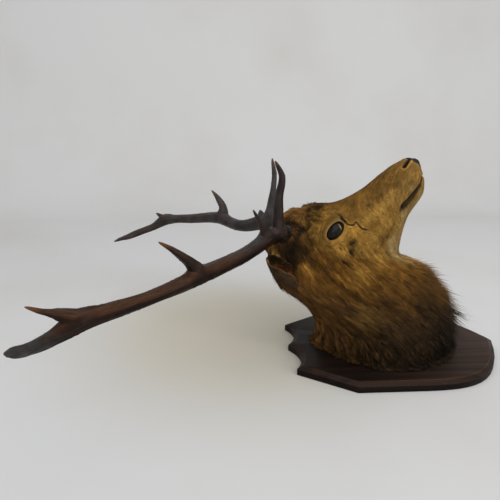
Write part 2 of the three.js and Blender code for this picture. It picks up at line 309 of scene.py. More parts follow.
def tree_of(points):
    """A search tree over points."""
    tree = KDTree(len(points))
    for i, point in enumerate(points):
        tree.insert(point, i)
    tree.balance()
    return tree


def spline(points, at, tension=None):
    """A Catmull-Rom curve through points at shares of its length in points, centripetal
    unless a tension is given."""
    points = np.asarray(points, float)
    points = np.vstack([2 * points[0] - points[1], points, 2 * points[-1] - points[-2]])
    spans = len(points) - 3
    at = np.clip(np.asarray(at, float), 0, 1) * spans
    first = np.minimum(at.astype(int), spans - 1)
    w = (at - first)[..., None]
    a, b, c, d = (points[first + i] for i in range(4))
    if tension is None:
        steps = (b - a, c - b, d - c)
        before, here, after = (np.linalg.norm(v, axis=-1, keepdims=True) ** 0.5 for v in steps)
        out = ((b - a) / before - (c - a) / (before + here) + (c - b) / here) * here
        into = ((c - b) / here - (d - b) / (here + after) + (d - c) / after) * here
    else:
        out = tension * (c - a)
        into = tension * (d - b)
    cubic = 2 * b - 2 * c + out + into
    square = -3 * b + 3 * c - 2 * out - into
    return b + w * (out + w * (square + w * cubic))


LATTICE = np.random.default_rng(SEED).random((32, 32, 32))


def cloud(places, period, shift=0.0):
    """Smooth noise from 0 to 1 with features about as large as the period, in millimetres."""
    at = places / period + shift
    low = np.floor(at).astype(int)
    w = at - low
    w = w * w * (3 - 2 * w)
    total = np.zeros(places.shape[:-1])
    for i in (0, 1):
        for j in (0, 1):
            for k in (0, 1):
                share = (w[..., 0] if i else 1 - w[..., 0]) * (w[..., 1] if j else 1 - w[..., 1])
                share = share * (w[..., 2] if k else 1 - w[..., 2])
                cell = (low + (i, j, k)) % 32
                total += share * LATTICE[cell[..., 0], cell[..., 1], cell[..., 2]]
    return total


def to_line(places, line):
    """Distance to a broken line, and the share of the line at its nearest point."""
    line = np.asarray(line, float)
    lengths = np.linalg.norm(np.diff(line, axis=0), axis=1)
    starts = np.concatenate([[0], np.cumsum(lengths)])
    best = np.full(places.shape[:-1], 1e9)
    share = np.zeros(places.shape[:-1])
    for i, length in enumerate(lengths):
        way = (line[i + 1] - line[i]) / length
        along = np.clip((places - line[i]) @ way, 0, length)
        away = np.linalg.norm(places - line[i] - along[..., None] * way, axis=-1)
        nearer = away < best
        best = np.where(nearer, away, best)
        share = np.where(nearer, (starts[i] + along) / starts[-1], share)
    return best, share


def outwards(places):
    """Places with y taken outwards from the middle of the head."""
    return places * np.array([1, 0, 1]) + np.abs(places) * np.array([0, 1, 0])


# ---- The body's shape ----

BOARD_TOP = 20.0
GAP = 0.3
ROUNDNESS = 0.86

# Sections from nose to shield: the top point and the under point as x, z, and half-widths
# towards the top, at the middle and towards the under side.
SECTIONS = (
    ((10, 424), (22, 415), (10, 12, 10)),  # nose tip
    ((-1, 425), (27, 397), (26, 27, 24)),  # nostrils
    ((-20, 418), (36, 370), (29, 31, 26)),  # lips
    ((-50, 398), (32, 345), (31, 34, 26)),  # chin
    ((-85, 368), (12, 312), (34, 39, 30)),  # muzzle
    ((-113, 350), (3, 284), (43, 45, 35)),  # cheek front
    ((-143, 336), (-2, 255), (63, 53, 40)),  # eyes
    ((-178, 331), (-3, 234), (74, 57, 44)),  # brow
    ((-214, 323), (4, 221), (68, 61, 48)),  # forehead
    ((-250, 311), (14, 217), (62, 66, 53)),  # poll
    ((-276, 285), (32, 213), (62, 72, 60)),  # back of head
    ((-283, 242), (60, 196), (63, 81, 72)),  # nape
    ((-280, 203), (85, 166), (65, 92, 84)),  # upper neck
    ((-262, 161), (105, 132), (66, 103, 93)),  # waist
    ((-214, 123), (117, 95), (68, 116, 101)),  # mane
    ((-179, 81), (127, 58), (74, 126, 107)),  # lower mane
    ((-176, 20), (130, 20), (80, 132, 112)),  # board
)
SPANS = len(SECTIONS) - 1

# Swellings of the face: centre, radius and height.
SWELLINGS = (
    ((-159, 60, 297), 34, 8),
    ((-185, 64, 262), 32, 4),
    ((-120, 52, 258), 42, 3),
    ((-240, 48, 288), 27, 11),
    ((8, 26, 388), 26, 3),
    ((-6, 22, 417), 13, 3),
)

# Rows of the skin's mesh in each span: close on the face, wider down the neck.
ROWS = [22] * 4 + [28] * 4 + [10] * 8
COLUMNS = 256
CAP_ROWS = 8
CAP_BULGE = 3.0


def body_ring(at, angle):
    """Places on the outside of the coat, at shares from nose to shield and angles round it
    from the top line."""
    tops = spline([(top[0], 0, top[1]) for top, _, _ in SECTIONS], at)
    unders = spline([(under[0], 0, under[1]) for _, under, _ in SECTIONS], at)
    widths = spline([widths for _, _, widths in SECTIONS], at, 0.5)
    tops, unders, widths = (v[:, None, :] for v in (tops, unders, widths))
    up = np.cos(angle)[None, :, None]
    corner = np.where(up > 0, widths[..., 0:1], widths[..., 2:3])
    width = widths[..., 1:2] + (corner - widths[..., 1:2]) * up**2
    places = tops + (unders - tops) * (1 - up) / 2
    side = np.sin(angle)[None, :]
    places[..., 1] = np.sign(side) * width[..., 0] * np.abs(side) ** ROUNDNESS
    places[..., 2] = np.maximum(places[..., 2], BOARD_TOP + GAP)
    for centre, radius, height in SWELLINGS:
        away = np.linalg.norm(outwards(places) - centre, axis=-1)
        places[..., 1] += np.sign(places[..., 1]) * height * bell(away, radius)
    return places


def grid_steps(places):
    """Steps along the rows' and round the columns' ways, on a grid of closed columns."""
    return np.gradient(places, axis=0), (np.roll(places, -1, 1) - np.roll(places, 1, 1)) / 2


def grid_normals(places):
    """Outward directions on a grid of rows and closed columns."""
    down, round_ = grid_steps(places)
    return unit(np.cross(round_, down))


def relaxed(places, times):
    """The grid with each inner row drawn towards its neighbours."""
    for _ in range(times):
        beside = (np.roll(places, 1, 1) + np.roll(places, -1, 1)) / 2
        rows = places.copy()
        rows[1:-1] = (places[2:] + places[:-2]) / 2
        mean = (beside + rows) / 2
        mean[0], mean[-1] = places[0], places[-1]
        places = places * 0.5 + mean * 0.5
    return places


# Depth of the coat over the skin, in millimetres, at places from nose to shield.
DEPTH = ((0, 0.5), (2, 0.9), (5, 1.5), (7.5, 2.5), (9, 4.5), (10, 6), (11, 8), (12.5, 11), (16, 12))


def thicker_below(angle):
    """The coat's depth round the body, thinner on top than underneath."""
    return 0.78 - 0.22 * np.cos(angle)


def by_section(table, at):
    """A table's value at sections counted from the nose."""
    return np.interp(at, *zip(*table))


EYE = (-159.0, 62.0, 293.0)
EYE_HALF = (22.0, 13.0, 15.5)
EYE_TILT = math.radians(48)
EYE_FORWARD = math.radians(10)
# How far in and out the eye's own ring of skin is looked for, and how deep the skin sinks there.
EYE_DEPTH = 40
HOLLOW_DEPTH = 5.0


def eye_axes():
    """An eye's long, outward and short directions, y outwards."""
    long_ = np.array([math.cos(EYE_TILT), 0, math.sin(EYE_TILT)])
    short = np.array([-math.sin(EYE_TILT), 0, math.cos(EYE_TILT)])
    c, s = math.cos(EYE_FORWARD), math.sin(EYE_FORWARD)
    turn = np.array([[c, s, 0], [-s, c, 0], [0, 0, 1]])
    return turn @ long_, turn @ np.array([0, 1.0, 0]), turn @ short


def eye_place(places):
    """Places round the eye: along its length, outwards and across, in millimetres."""
    long_, out, short = eye_axes()
    away = outwards(places) - EYE
    return away @ long_, away @ out, away @ short


def at_eye(along, out, across):
    """Places from their shares of the eye's half-lengths and their height over its middle."""
    places = np.array(EYE)
    for part, axis in zip((EYE_HALF[0] * along, out, EYE_HALF[2] * across), eye_axes()):
        places = places + part[..., None] * axis
    return places


def eye_ring(along, across):
    """1 on the edge of the glass, more outside it."""
    return np.hypot(along / EYE_HALF[0], across / EYE_HALF[2])


def snapped(spots, places):
    """Spots with their y moved onto the grid, by the nearest point as seen from the side."""
    spots = np.array(spots, float)
    flat = outwards(places).reshape(-1, 3)
    for spot in spots:
        away = ((flat - spot) ** 2) @ (1, SIDE_PULL, 1)
        spot[1] = flat[away.argmin(), 1]
    return spots


def drawn(line, places, count=20):
    """A smooth line through spots, lying on the grid."""
    return snapped(spline(line, np.linspace(0, 1, count)), places)


def to_drawn(line, places, count=20):
    """Distance to a line lying on the grid, and the share of its length at the nearest point."""
    return to_line(outwards(places), drawn(line, places, count))


# How little the height above the side counts when a spot is moved onto the grid.
SIDE_PULL = 0.04
MOUTH = (
    (35, 5, 394), (29, 18, 393), (20, 28, 391), (18, 31, 381), (12, 31, 371), (5, 32, 360),
    (-4, 33, 350), (-13, 34, 341), (-19, 35, 332),
)
TEAR_SLIT = (
    (-145, 53, 316), (-141, 56, 312), (-137, 58, 309), (-133, 59, 305), (-126, 60, 302),
    (-118, 57, 302), (-114, 56, 307), (-110, 55, 302), (-103, 54, 294), (-93, 53, 291),
)
NOSTRIL = ((-16, 24, 410), (-13, 21, 415), (-10, 17, 418), (-7, 13, 421))
NOSTRIL_FOLD = ((-1, 19, 421), (-6, 25, 416), (-10, 26, 410), (-15, 26, 406), (-21, 23, 407))

# Forms modelled on the skin: a line, its half-width and its height.
FORMS = (
    (((-192, 66, 298), (-184, 66, 314), (-170, 66, 324), (-152, 64, 326), (-138, 62, 319)), 8, 3.4),
    (((-169, 11, 331), (-190, 14, 327), (-202, 34, 318), (-200, 48, 306), (-195, 58, 294)), 6, 3.6),
    (((-178, 26, 327), (-188, 38, 320), (-187, 50, 310)), 5, -2.6),
    (((-212, 16, 322), (-213, 40, 312), (-210, 56, 296)), 6, -2.8),
    (((-226, 8, 318), (-232, 30, 310)), 9, 3.2),
    (((-184, 70, 282), (-168, 72, 272), (-150, 70, 272), (-138, 66, 282)), 7, 1.8),
    (((-136, 66, 279), (-108, 54, 290), (-75, 45, 314), (-48, 40, 338)), 10, 2.2),
    (((-150, 74, 216), (-105, 68, 224), (-60, 55, 246), (-35, 44, 280)), 9, -2.4),
    (((-128, 56, 312), (-100, 46, 324), (-70, 38, 345)), 11, -2.4),
    (((-36, 32, 392), (-28, 34, 380)), 12, -2.2),
    (((30, 12, 358), (18, 22, 350)), 9, 1.8),
    (((12, 31, 398), (4, 33, 380), (-6, 35, 364), (-17, 36, 348)), 6, 1.6),
    (((27, 16, 378), (20, 26, 366), (8, 30, 350)), 6, 1.4),
    (((-24, 34, 318), (-30, 36, 300), (-40, 38, 285)), 5, -1.6),
    (((-14, 24, 300), (-20, 36, 288), (-26, 40, 272)), 4, 1.3),
    (((-220, 60, 300), (-205, 62, 288)), 11, -2.5),
    (((-236, 66, 236), (-222, 72, 205), (-214, 76, 180)), 12, 3.0),
    (((-60, 48, 300), (-78, 56, 270), (-96, 66, 240)), 8, 1.4),
)
LOWER_LIP = ((19, 30, 375), (11, 31, 364), (5, 31, 353), (-4, 32, 342), (-12, 34, 333))


def slit_from_side(places):
    """Distance to the tear slit as seen from the side, and the share of its length."""
    line = spline(TEAR_SLIT, np.linspace(0, 1, 24))
    return to_line(places * (1, 0, 1), line * (1, 0, 1))


def slit_depth(places):
    """Depth of the tear slit, wide beside the eye and narrow forwards."""
    away, share = slit_from_side(places)
    reach = 2.4 - 1.1 * share
    return 0.8 * bell(away, 2.2 * reach) - (3.8 - 2.4 * share) * bell(away, reach)


def sculpted(places, normals):
    """The skin with its folds, mouth, nostrils and eye hollows."""
    height = np.zeros(places.shape[:-1])
    for line, half_width, rise in FORMS:
        away, _ = to_drawn(line, places, 8)
        height += rise * bell(away, half_width)
    away, _ = to_drawn(MOUTH, places)
    height -= 4.2 * bell(away, 1.9) - 0.6 * bell(away, 5.5)
    away, _ = to_drawn(LOWER_LIP, places)
    height -= 1.5 * bell(away, 4.5)
    height += slit_depth(places)
    away, share = to_drawn(NOSTRIL, places)
    height -= 7.5 * bell(away, 3.2) * (0.55 + 0.45 * np.sin(math.pi * share))
    away, _ = to_drawn(NOSTRIL_FOLD, places)
    height += 2.4 * bell(away, 2.4)
    height += 1.2 * (cloud(places, 17.0) - 0.5) + 0.7 * (cloud(places, 7.0, 3.1) - 0.5)
    moved = places + normals * height[..., None]
    along, out, across = eye_place(moved)
    ring = eye_ring(along, across)
    hollow = -HOLLOW_DEPTH - out
    sunk = np.where(np.abs(out) < EYE_DEPTH, 1 - smooth_step(1.22, 1.5, ring), 0)
    _, outward, _ = eye_axes()
    turned = np.where(places[..., 1:2] < 0, outward * (1, -1, 1), outward)
    return moved + turned * (np.minimum(hollow, 0) * sunk)[..., None]


def skin_grid():
    """Each row's share of the way from nose to shield, the columns' angles, the skin before and
    after its forms are modelled, and its directions."""
    at = np.concatenate(
        [(span + np.arange(rows) / rows) / SPANS for span, rows in enumerate(ROWS)] + [[1.0]]
    )
    angle = turns(COLUMNS)
    coat = body_ring(at, angle)
    normals = grid_normals(coat)
    depth = by_section(DEPTH, at * SPANS)[:, None] * thicker_below(angle)[None, :]
    places = coat - normals * depth[..., None]
    places[..., 2] = np.maximum(places[..., 2], BOARD_TOP + GAP)
    plain = relaxed(places, 6)
    places = sculpted(plain, grid_normals(plain))
    return at, angle, plain, places, grid_normals(places)


# ---- The lie of the hair ----

# How far the hair turns from the nose-to-shield lines towards the throat, in degrees.
TURN = ((0, 0), (1.5, 18), (3, 38), (5, 66), (6.5, 72), (8, 60), (9, 48), (10, 41), (13, 38), (16, 26))
SKIRT_ROWS = 12
SKIRT_STEP = 4.5


class Lie:
    """Hair's direction and what it grows on, over a grid of rows and columns round it."""

    def __init__(self, places, normals, turn, side):
        self.places, self.normals, self.turn, self.side = places, normals, turn, side
        self.down, self.round = grid_steps(places)

    def sample(self, values, row, column):
        """Values between the grid's points."""
        rows, columns = values.shape[:2]
        row = np.clip(row, 0, rows - 1.001)
        i = row.astype(int)
        j = np.floor(column).astype(int)
        a, b = row - i, column - j
        if values.ndim == 3:
            a, b = a[:, None], b[:, None]
        j, k = j % columns, (j + 1) % columns
        above = values[i, j] * (1 - b) + values[i, k] * b
        below = values[i + 1, j] * (1 - b) + values[i + 1, k] * b
        return above * (1 - a) + below * a

    def heading(self, row, column, swirl=0.0):
        """Directions of the hair, and the grid steps that each millimetre along it takes."""
        down = self.sample(self.down, row, column)
        round_ = self.sample(self.round, row, column)
        turn = self.sample(self.turn, row, column) + swirl
        side = self.sample(self.side, row, column)
        fall = np.maximum(np.linalg.norm(down, axis=1), 0.05)
        swing = np.maximum(np.linalg.norm(round_, axis=1), 0.05)
        straight, aside = np.cos(turn), np.sin(turn) * side
        way = unit(down * (straight / fall)[:, None] + round_ * (aside / swing)[:, None])
        return way, straight / fall, aside / swing

    def streaks(self, values, reach, steps):
        """Noise drawn out along the hair: each point's mean over a short way both ways."""
        rows, columns = np.indices(values.shape)
        rows, columns = rows.ravel().astype(float), columns.ravel().astype(float)
        total = values.ravel().copy()
        for way in (1, -1):
            row, column = rows.copy(), columns.copy()
            for _ in range(steps):
                _, fall, swing = self.heading(row, column)
                row = row + fall * way * reach / steps
                column = column + swing * way * reach / steps
                total += self.sample(values, row, column)
        return (total / (2 * steps + 1)).reshape(values.shape)


def body_lie(at, angle, places, normals):
    """The lie over head, neck and the strip of shield that the mane's tips reach."""
    centre = places[-1].mean(axis=0)
    outward = places[-1] - centre
    outward[:, 2] = 0
    outward = unit(outward)
    steps = np.arange(1, SKIRT_ROWS + 1)[:, None, None] * SKIRT_STEP
    skirt = places[-1] + outward * steps
    skirt[..., 2] = BOARD_TOP + 2 * GAP
    level = np.broadcast_to([0.0, 0, 1], skirt.shape)
    full = np.concatenate([places, skirt])
    full_normals = unit(np.concatenate([normals, level]))
    share = np.concatenate([at, np.full(SKIRT_ROWS, 1.0)])
    turn = np.radians(by_section(TURN, share * SPANS))[:, None]
    turn = turn * (np.abs(np.sin(angle)) ** 0.6)[None, :]
    side = np.broadcast_to(np.tanh(3 * np.sin(angle))[None, :], turn.shape)
    return Lie(full, full_normals, turn, side)


# ---- Markings ----

# Ground colours from nose to shield; the black at the shield is partly dark hair and partly painted
# shade where the mane meets it.
GROUND = (
    (0, "olive"), (3, "olive"), (5, "tan"), (8.8, "tan"), (10.2, "brown"), (11.6, "brown"),
    (12.8, "bronze"), (14.4, "umber"), (16, "black"),
)

# Patches of colour: centre, radius, colour and strength, painted one over another.
PATCHES = (
    ((-245, 0, 300), 42, "rust", 0.85),
    ((-215, 12, 322), 24, "rust", 0.8),
    ((-230, 54, 290), 14, "black", 0.85),
    ((-238, 54, 272), 16, "black", 0.85),
    ((-242, 49, 252), 20, "black", 0.9),
    ((-224, 58, 262), 18, "umber", 0.85),
    ((-206, 62, 278), 13, "umber", 0.6),
    ((-246, 47, 235), 18, "black", 0.9),
    ((-251, 32, 297), 20, "umber", 0.7),
    ((-210, 50, 300), 8, "black", 0.5),
    ((-268, 30, 245), 22, "umber", 0.6),
    ((-216, 62, 246), 16, "umber", 0.45),
    ((-212, 24, 320), 9, "gold", 0.35),
    ((-165, 66, 300), 26, "olive", 0.8),
    ((-188, 60, 304), 12, "olive", 0.6),
    ((-176, 70, 278), 14, "olive", 0.5),
    ((-176, 54, 310), 16, "gold", 0.7),
    ((-150, 60, 322), 12, "tan", 0.6),
    ((-164, 50, 320), 12, "gold", 0.5),
    ((-10, 30, 322), 12, "pale", 0.5),
    ((-116, 60, 290), 17, "gold", 0.75),
    ((-136, 66, 284), 13, "gold", 0.7),
    ((-124, 80, 223), 22, "gold", 0.5),
    ((-150, 72, 262), 13, "gold", 0.35),
    ((-180, 74, 236), 14, "umber", 0.6),
    ((-118, 30, 340), 12, "umber", 0.45),
    ((-66, 32, 362), 18, "umber", 0.4),
    ((-36, 34, 384), 16, "umber", 0.3),
    ((-90, 34, 340), 16, "umber", 0.25),
    ((-44, 40, 330), 9, "brown", 0.5),
    ((-38, 36, 372), 12, "brown", 0.35),
    ((-78, 48, 300), 15, "brown", 0.5),
    ((-52, 48, 272), 12, "brown", 0.55),
    ((-41, 46, 284), 13, "brown", 0.4),
    ((-42, 40, 246), 8, "umber", 0.5),
    ((2, 32, 372), 11, "pale", 0.2),
    ((1, 33, 397), 9, "gold", 0.6),
    ((-13, 33, 328), 10, "umber", 0.15),
    ((-38, 44, 262), 18, "pale", 0.4),
    ((-26, 36, 242), 18, "pale", 0.85),
    ((-70, 70, 232), 20, "gold", 0.25),
    ((-110, 80, 214), 24, "gold", 0.25),
    ((-68, 89, 185), 28, "umber", 0.3),
    ((28, 70, 188), 28, "umber", 0.4),
    ((-10, 78, 178), 26, "umber", 0.25),
    ((13, 80, 157), 34, "umber", 0.5),
    ((-20, 66, 196), 14, "umber", 0.6),
    ((-118, 100, 146), 34, "tan", 0.25),
    ((-100, 98, 175), 24, "brown", 0.4),
    ((-60, 110, 150), 22, "brown", 0.4),
    ((-24, 36, 256), 18, "pale", 0.8),
    ((-98, 56, 268), 18, "gold", 0.4),
    # Black where the lower neck meets the shield: partly dark hair, partly painted shade.
    ((74, 68, 122), 30, "black", 0.6),
    ((56, 100, 80), 42, "black", 0.85),
    ((110, 30, 60), 50, "black", 0.9),
    ((-48, 126, 43), 30, "umber", 0.6),
    ((-100, 116, 60), 26, "umber", 0.6),
    ((-148, 66, 80), 30, "umber", 0.5),
    ((-158, 60, 50), 24, "umber", 0.6),
    ((-166, 34, 50), 26, "rust", 0.4),
    ((-262, 0, 190), 46, "bronze", 0.7),
    ((-245, 60, 150), 26, "bronze", 0.4),
    ((-270, 0, 235), 30, "umber", 0.5),
    ((-238, 44, 304), 14, "black", 0.85),
    ((-226, 52, 294), 14, "black", 0.8),
    ((-250, 48, 272), 20, "black", 0.7),
    ((-262, 42, 258), 16, "umber", 0.8),
    ((-269, 30, 246), 11, "tan", 0.95),
    ((-213, 64, 226), 12, "gold", 0.6),
)

# Strokes of shade: a line, its half-width, its colour and strength.
STROKES = (
    (((-180, 8, 331), (-190, 16, 327), (-197, 30, 320), (-199, 44, 310)), 6.5, "black", 0.85),
    (((-166, 4, 334), (-176, 12, 330), (-186, 24, 324)), 7, "black", 0.8),
    (((-206, 30, 319), (-209, 46, 307), (-207, 56, 296)), 4.5, "black", 0.75),
    (((-214, 50, 300), (-210, 60, 286), (-203, 64, 274), (-206, 68, 256)), 4.5, "black", 0.65),
    (((-150, 48, 330), (-138, 50, 324), (-128, 46, 328)), 4, "brown", 0.5),
    (((-190, 70, 286), (-182, 73, 272), (-166, 74, 262)), 4, "brown", 0.5),
    (((-14, 28, 402), (-30, 32, 394), (-48, 34, 382)), 6, "brown", 0.4),
)

# Bare or worn lines and spots in the coat: a line, its half-width, its colour and the side.
BARE_LINES = (
    (MOUTH, 2.6, "black", 0),
    (TEAR_SLIT, 1.9, "black", 0),
    (NOSTRIL, 4.6, "black", 0),
    (((-17, 34, 334), (-20, 35, 327)), 3.2, "black", 0),
    (((-146, 56, 317), (-140, 58, 311), (-135, 59, 306)), 3.4, "black", 0),
    (((-127, 62, 271), (-122, 61, 272), (-117, 61, 274)), 3.4, "black", -1),
    (((-129, 66, 263), (-131, 66, 258), (-135, 66, 252)), 3.0, "black", -1),
    (((-149, 72, 243), (-144, 72, 239)), 3.4, "black", -1),
    (((-124, 62, 262), (-129, 64, 258)), 1.6, "umber", -1),
)


def in_palette(settings, name):
    return np.array(getattr(settings, name))


def worn(colours, amount, towards):
    return colours + (np.asarray(towards) - colours) * amount[..., None]


def graded(at, places, colours):
    """Colours between those of some places."""
    colours = np.array(colours)
    return np.stack([np.interp(at, places, colours[:, i]) for i in range(3)], axis=-1)


def markings(coat, places, at, angle):
    """Colours of skin and coat on the skin's grid."""
    steps, names = zip(*GROUND)
    wander = (cloud(places, 26.0) - 0.5) * 1.1 + (cloud(places, 11.0, 2.2) - 0.5) * 0.5
    section = at * SPANS
    here = section[:, None] + wander * smooth_step(7, 9, section[:, None])
    colours = graded(here, steps, [in_palette(coat, name) for name in names])
    under = smooth_step(0.35, 0.95, -np.cos(angle))[None, :]
    jaw = np.interp(section, (1, 2.5, 8.5, 10), (0, 1, 1, 0))[:, None]
    colours = worn(colours, under * jaw * 0.45, in_palette(coat, "pale"))
    back = smooth_step(0.5, 0.95, np.cos(angle))[None, :]
    nape = np.interp(section, (9, 10, 15, 16), (0, 1, 1, 0.3))[:, None]
    colours = worn(colours, back * nape * 0.55, in_palette(coat, "rust"))
    bridge = np.interp(section, (1.5, 3.5, 7.2, 8.5), (0, 1, 1, 0.3))[:, None]
    ridge = smooth_step(0.2, 0.85, np.cos(angle))[None, :]
    colours = worn(colours, ridge * bridge * 0.7, in_palette(coat, "brown"))
    shift = np.stack([cloud(places, 9.0, s) - 0.5 for s in (1.3, 4.7, 8.9)], axis=-1) * 11
    mirror = outwards(places) + shift
    centres = snapped([row[0] for row in PATCHES], places)
    for centre, (_, radius, name, strength) in zip(centres, PATCHES):
        away = np.linalg.norm(mirror - centre, axis=-1) / radius
        colours = worn(colours, strength * (1 - smooth_step(0.4, 1.3, away)), in_palette(coat, name))
    for line, half_width, name, strength in STROKES:
        away, _ = to_line(mirror, drawn(line, places))
        colours = worn(colours, strength * bell(away, half_width), in_palette(coat, name))
    mottle = cloud(places, 6.0, 5.5) * 0.5 + cloud(places, 2.6, 7.7) * 0.5
    tone = np.interp(section, (8.8, 10, 11.4, 13), (1, 1.12, 1.08, 0.92))[:, None]
    colours = colours * ((0.72 + 0.56 * mottle) * tone)[..., None]
    away, share = to_drawn(LOWER_LIP, places)
    dark = 0.9 * bell(away, 3 + 4 * share, 4)
    colours = worn(colours, dark, in_palette(coat, "umber"))
    for line, half_width, name, side in BARE_LINES:
        away, _ = to_drawn(line, places)
        if side:
            away = np.where(np.sign(places[..., 1]) == side, away, 1e3)
        colours = worn(colours, bell(away, half_width, 4), in_palette(coat, name))
    away, _ = to_drawn(NOSTRIL_FOLD, places)
    return worn(colours, 0.85 * bell(away, 1.9), in_palette(coat, "gold"))


# ---- Tufts ----


def choose_roots(lie, weight, count, rng):
    """Places in grid units, as many in each cell as its area and weight ask for."""
    area = np.linalg.norm(np.cross(lie.down, lie.round), axis=-1)
    share = np.cumsum((area * weight)[:-1].ravel())
    cell = np.searchsorted(share, rng.random(count) * share[-1])
    row, column = np.unravel_index(np.minimum(cell, len(share) - 1), area[:-1].shape)
    return row + rng.random(count), column + rng.random(count)


def leaders_of(roots, gap, rng):
    """For each root, the nearest of a thinner scatter of the same roots."""
    chosen = rng.permutation(len(roots))[: max(1, len(roots) // gap)]
    tree = tree_of(roots[chosen])
    return chosen[[tree.find(root)[1] for root in roots]]


# How deep a tuft's root lies under the skin.
ROOT_DEPTH = 0.6


def tuft_paths(lie, row, column, length, height, rings, swirl, stray, lift, sag):
    """Points from root to tip of each tuft, and the skin's normals under them."""
    start = lie.sample(lie.places, row, column)
    first, _, _ = lie.heading(row, column, swirl)
    up = lie.sample(lie.normals, row, column)
    points, normals = [], []
    r, c = row.copy(), column.copy()
    for k in range(rings + 1):
        share = k / rings
        under = lie.sample(lie.places, r, c)
        normal = unit(lie.sample(lie.normals, r, c))
        rise = -ROOT_DEPTH + (height + ROOT_DEPTH) * min(1.0, (share * 1.7)) ** 0.8
        near = under + normal * rise[:, None]
        far = start + first * (length * share)[:, None]
        far = far + up * (rise + length * share * lift)[:, None]
        far = far + np.outer(length * share**2, sag)
        mix = (stray * share**0.7)[:, None]
        points.append(near + (far - near) * mix)
        normals.append(normal)
        _, fall, swing = lie.heading(r, c, swirl)
        r, c = r + fall * length / rings, c + swing * length / rings
    return np.stack(points, axis=1), np.stack(normals, axis=1)


# The corners round a tuft, across it and up from the skin, and its thickness to its width.
RING = np.array([[1.0, 0.0], [-1.0, 0.0], [0.0, 1.0]])
FLATNESS = 0.5
# Size of a tuft's patch on the map, and the map's own inner edge.
PATCH = 0.003
MAP_EDGE = 0.01


def tuft_mesh(name, points, normals, width, colours, roots_at):
    """Three-sided locks along paths, each closed and drawn out to a point."""
    count, rings = points.shape[0], points.shape[1] - 1
    way = np.gradient(points, axis=1)
    aside = unit(np.cross(way, normals))
    up = unit(np.cross(aside, way))
    share = np.arange(rings) / rings
    taper = np.interp(share, (0, 0.3, 0.7, 1), (0.7, 1, 0.75, 0.1))
    half = width[:, None] / 2 * taper[None, :]
    rings_at = points[:, :-1, None, :] + (
        aside[:, :-1, None, :] * (half[..., None] * RING[:, 0])[..., None]
        + up[:, :-1, None, :] * (half[..., None] * RING[:, 1] * FLATNESS)[..., None]
    )
    per = 3 * rings + 1
    corners = np.concatenate([rings_at.reshape(count, -1, 3), points[:, -1:, :]], axis=1)
    quads, triangles = [], [[2, 1, 0]]
    for k in range(rings - 1):
        for j in range(3):
            n = (j + 1) % 3
            quads.append([3 * k + j, 3 * k + n, 3 * k + 3 + n, 3 * k + 3 + j])
    last = 3 * (rings - 1)
    for j in range(3):
        triangles.append([last + j, last + (j + 1) % 3, per - 1])
    first = (np.arange(count) * per)[:, None, None]
    quads = (np.array(quads)[None] + first).reshape(-1, 4)
    triangles = (np.array(triangles)[None] + first).reshape(-1, 3)
    made = new_object(name, corners.reshape(-1, 3), quads, triangles)
    along = np.concatenate([np.repeat(share, 3), [1.0]])
    write_attribute(made, "tuft_along", "FLOAT", "value", np.tile(along, count))
    write_colours(made, "tuft_colour", np.repeat(colours, per, axis=0))
    across = np.concatenate([np.tile(RING[:, 0], rings), [0.0]]) * PATCH / 2
    drop = np.concatenate([np.repeat(share, 3) - np.tile(RING[:, 1], rings) * 0.12, [1.0]])
    places = roots_at[:, None, :] + np.stack([across, (drop - 0.5) * PATCH], axis=-1)[None]
    write_map(made, places.reshape(-1, 2))
    return made


def map_of(row, column, rows, columns):
    """Root places on an unwrap of the grid, from a little inside its edges."""
    u = (column - columns[0]) / (columns[1] - columns[0])
    v = (row - rows[0]) / (rows[1] - rows[0])
    return MAP_EDGE + (1 - 2 * MAP_EDGE) * np.clip(np.stack([u, v], axis=1), 0, 1)


class Coat:
    """The skin's grid, its lie and its markings, made once for all the pieces."""

    made = None

    def __init__(self, settings):
        self.at, self.angle, self.plain, self.places, self.normals = skin_grid()
        self.lie = body_lie(self.at, self.angle, self.places, self.normals)
        self.share = np.concatenate([self.at * SPANS, np.full(SKIRT_ROWS, float(SPANS))])
        flow = self.lie.streaks(cloud(self.lie.places, 5.5, 4.4), 42.0, 10)
        flow = np.clip((flow - flow.mean()) / flow.std() * 0.5, -1, 1)
        bands = np.interp(self.share, (4, 7, 10, 13), (0.1, 0.2, 0.45, 0.6))[:, None] * flow
        colours = markings(settings, self.plain, self.at, self.angle)
        self.colours = colours * (1 + bands[: len(self.at)])[..., None]
        edge = np.repeat(self.colours[-1:], SKIRT_ROWS, axis=0)
        self.full_colours = np.concatenate([self.colours, edge])
        steps = np.linalg.norm(np.diff(self.places, axis=0), axis=-1)
        left = np.concatenate([steps[::-1].cumsum(0)[::-1], np.zeros((1, COLUMNS))])
        self.to_board = np.concatenate([left, np.zeros((SKIRT_ROWS, COLUMNS))])
        self.bare = self.bare_places()
        self.tree = tree_of(self.places.reshape(-1, 3))

    def nearest(self, place):
        """The number of the skin's corner nearest to a place."""
        return self.tree.find(place)[1]

    def bare_places(self):
        """1 where hair grows, down to 0 at the eyes, the tear slits, the nose and the mouth."""
        plain = np.concatenate([self.plain, self.lie.places[len(self.at) :]])
        mirror = outwards(plain)
        along, out, across = eye_place(plain)
        clear = smooth_step(1.26, 1.36, eye_ring(along, across))
        grows = np.where(np.abs(out) < EYE_DEPTH, clear, 1)
        for line, reach in ((MOUTH, 1.6), (TEAR_SLIT, 1.6), (NOSTRIL, 4.4), (NOSTRIL_FOLD, 2)):
            away, _ = to_line(mirror, drawn(line, self.plain))
            grows = grows * (away > reach)
        return grows * (nose_share(plain) < 0.5)

    @classmethod
    def get(cls, settings):
        if cls.made is None:
            cls.made = cls(settings)
        return cls.made


# The bare nose is a rounded patch of the muzzle's end.
NOSE_CENTRE = (12, 0, 417)
NOSE_REACH = (19, 25, 17)


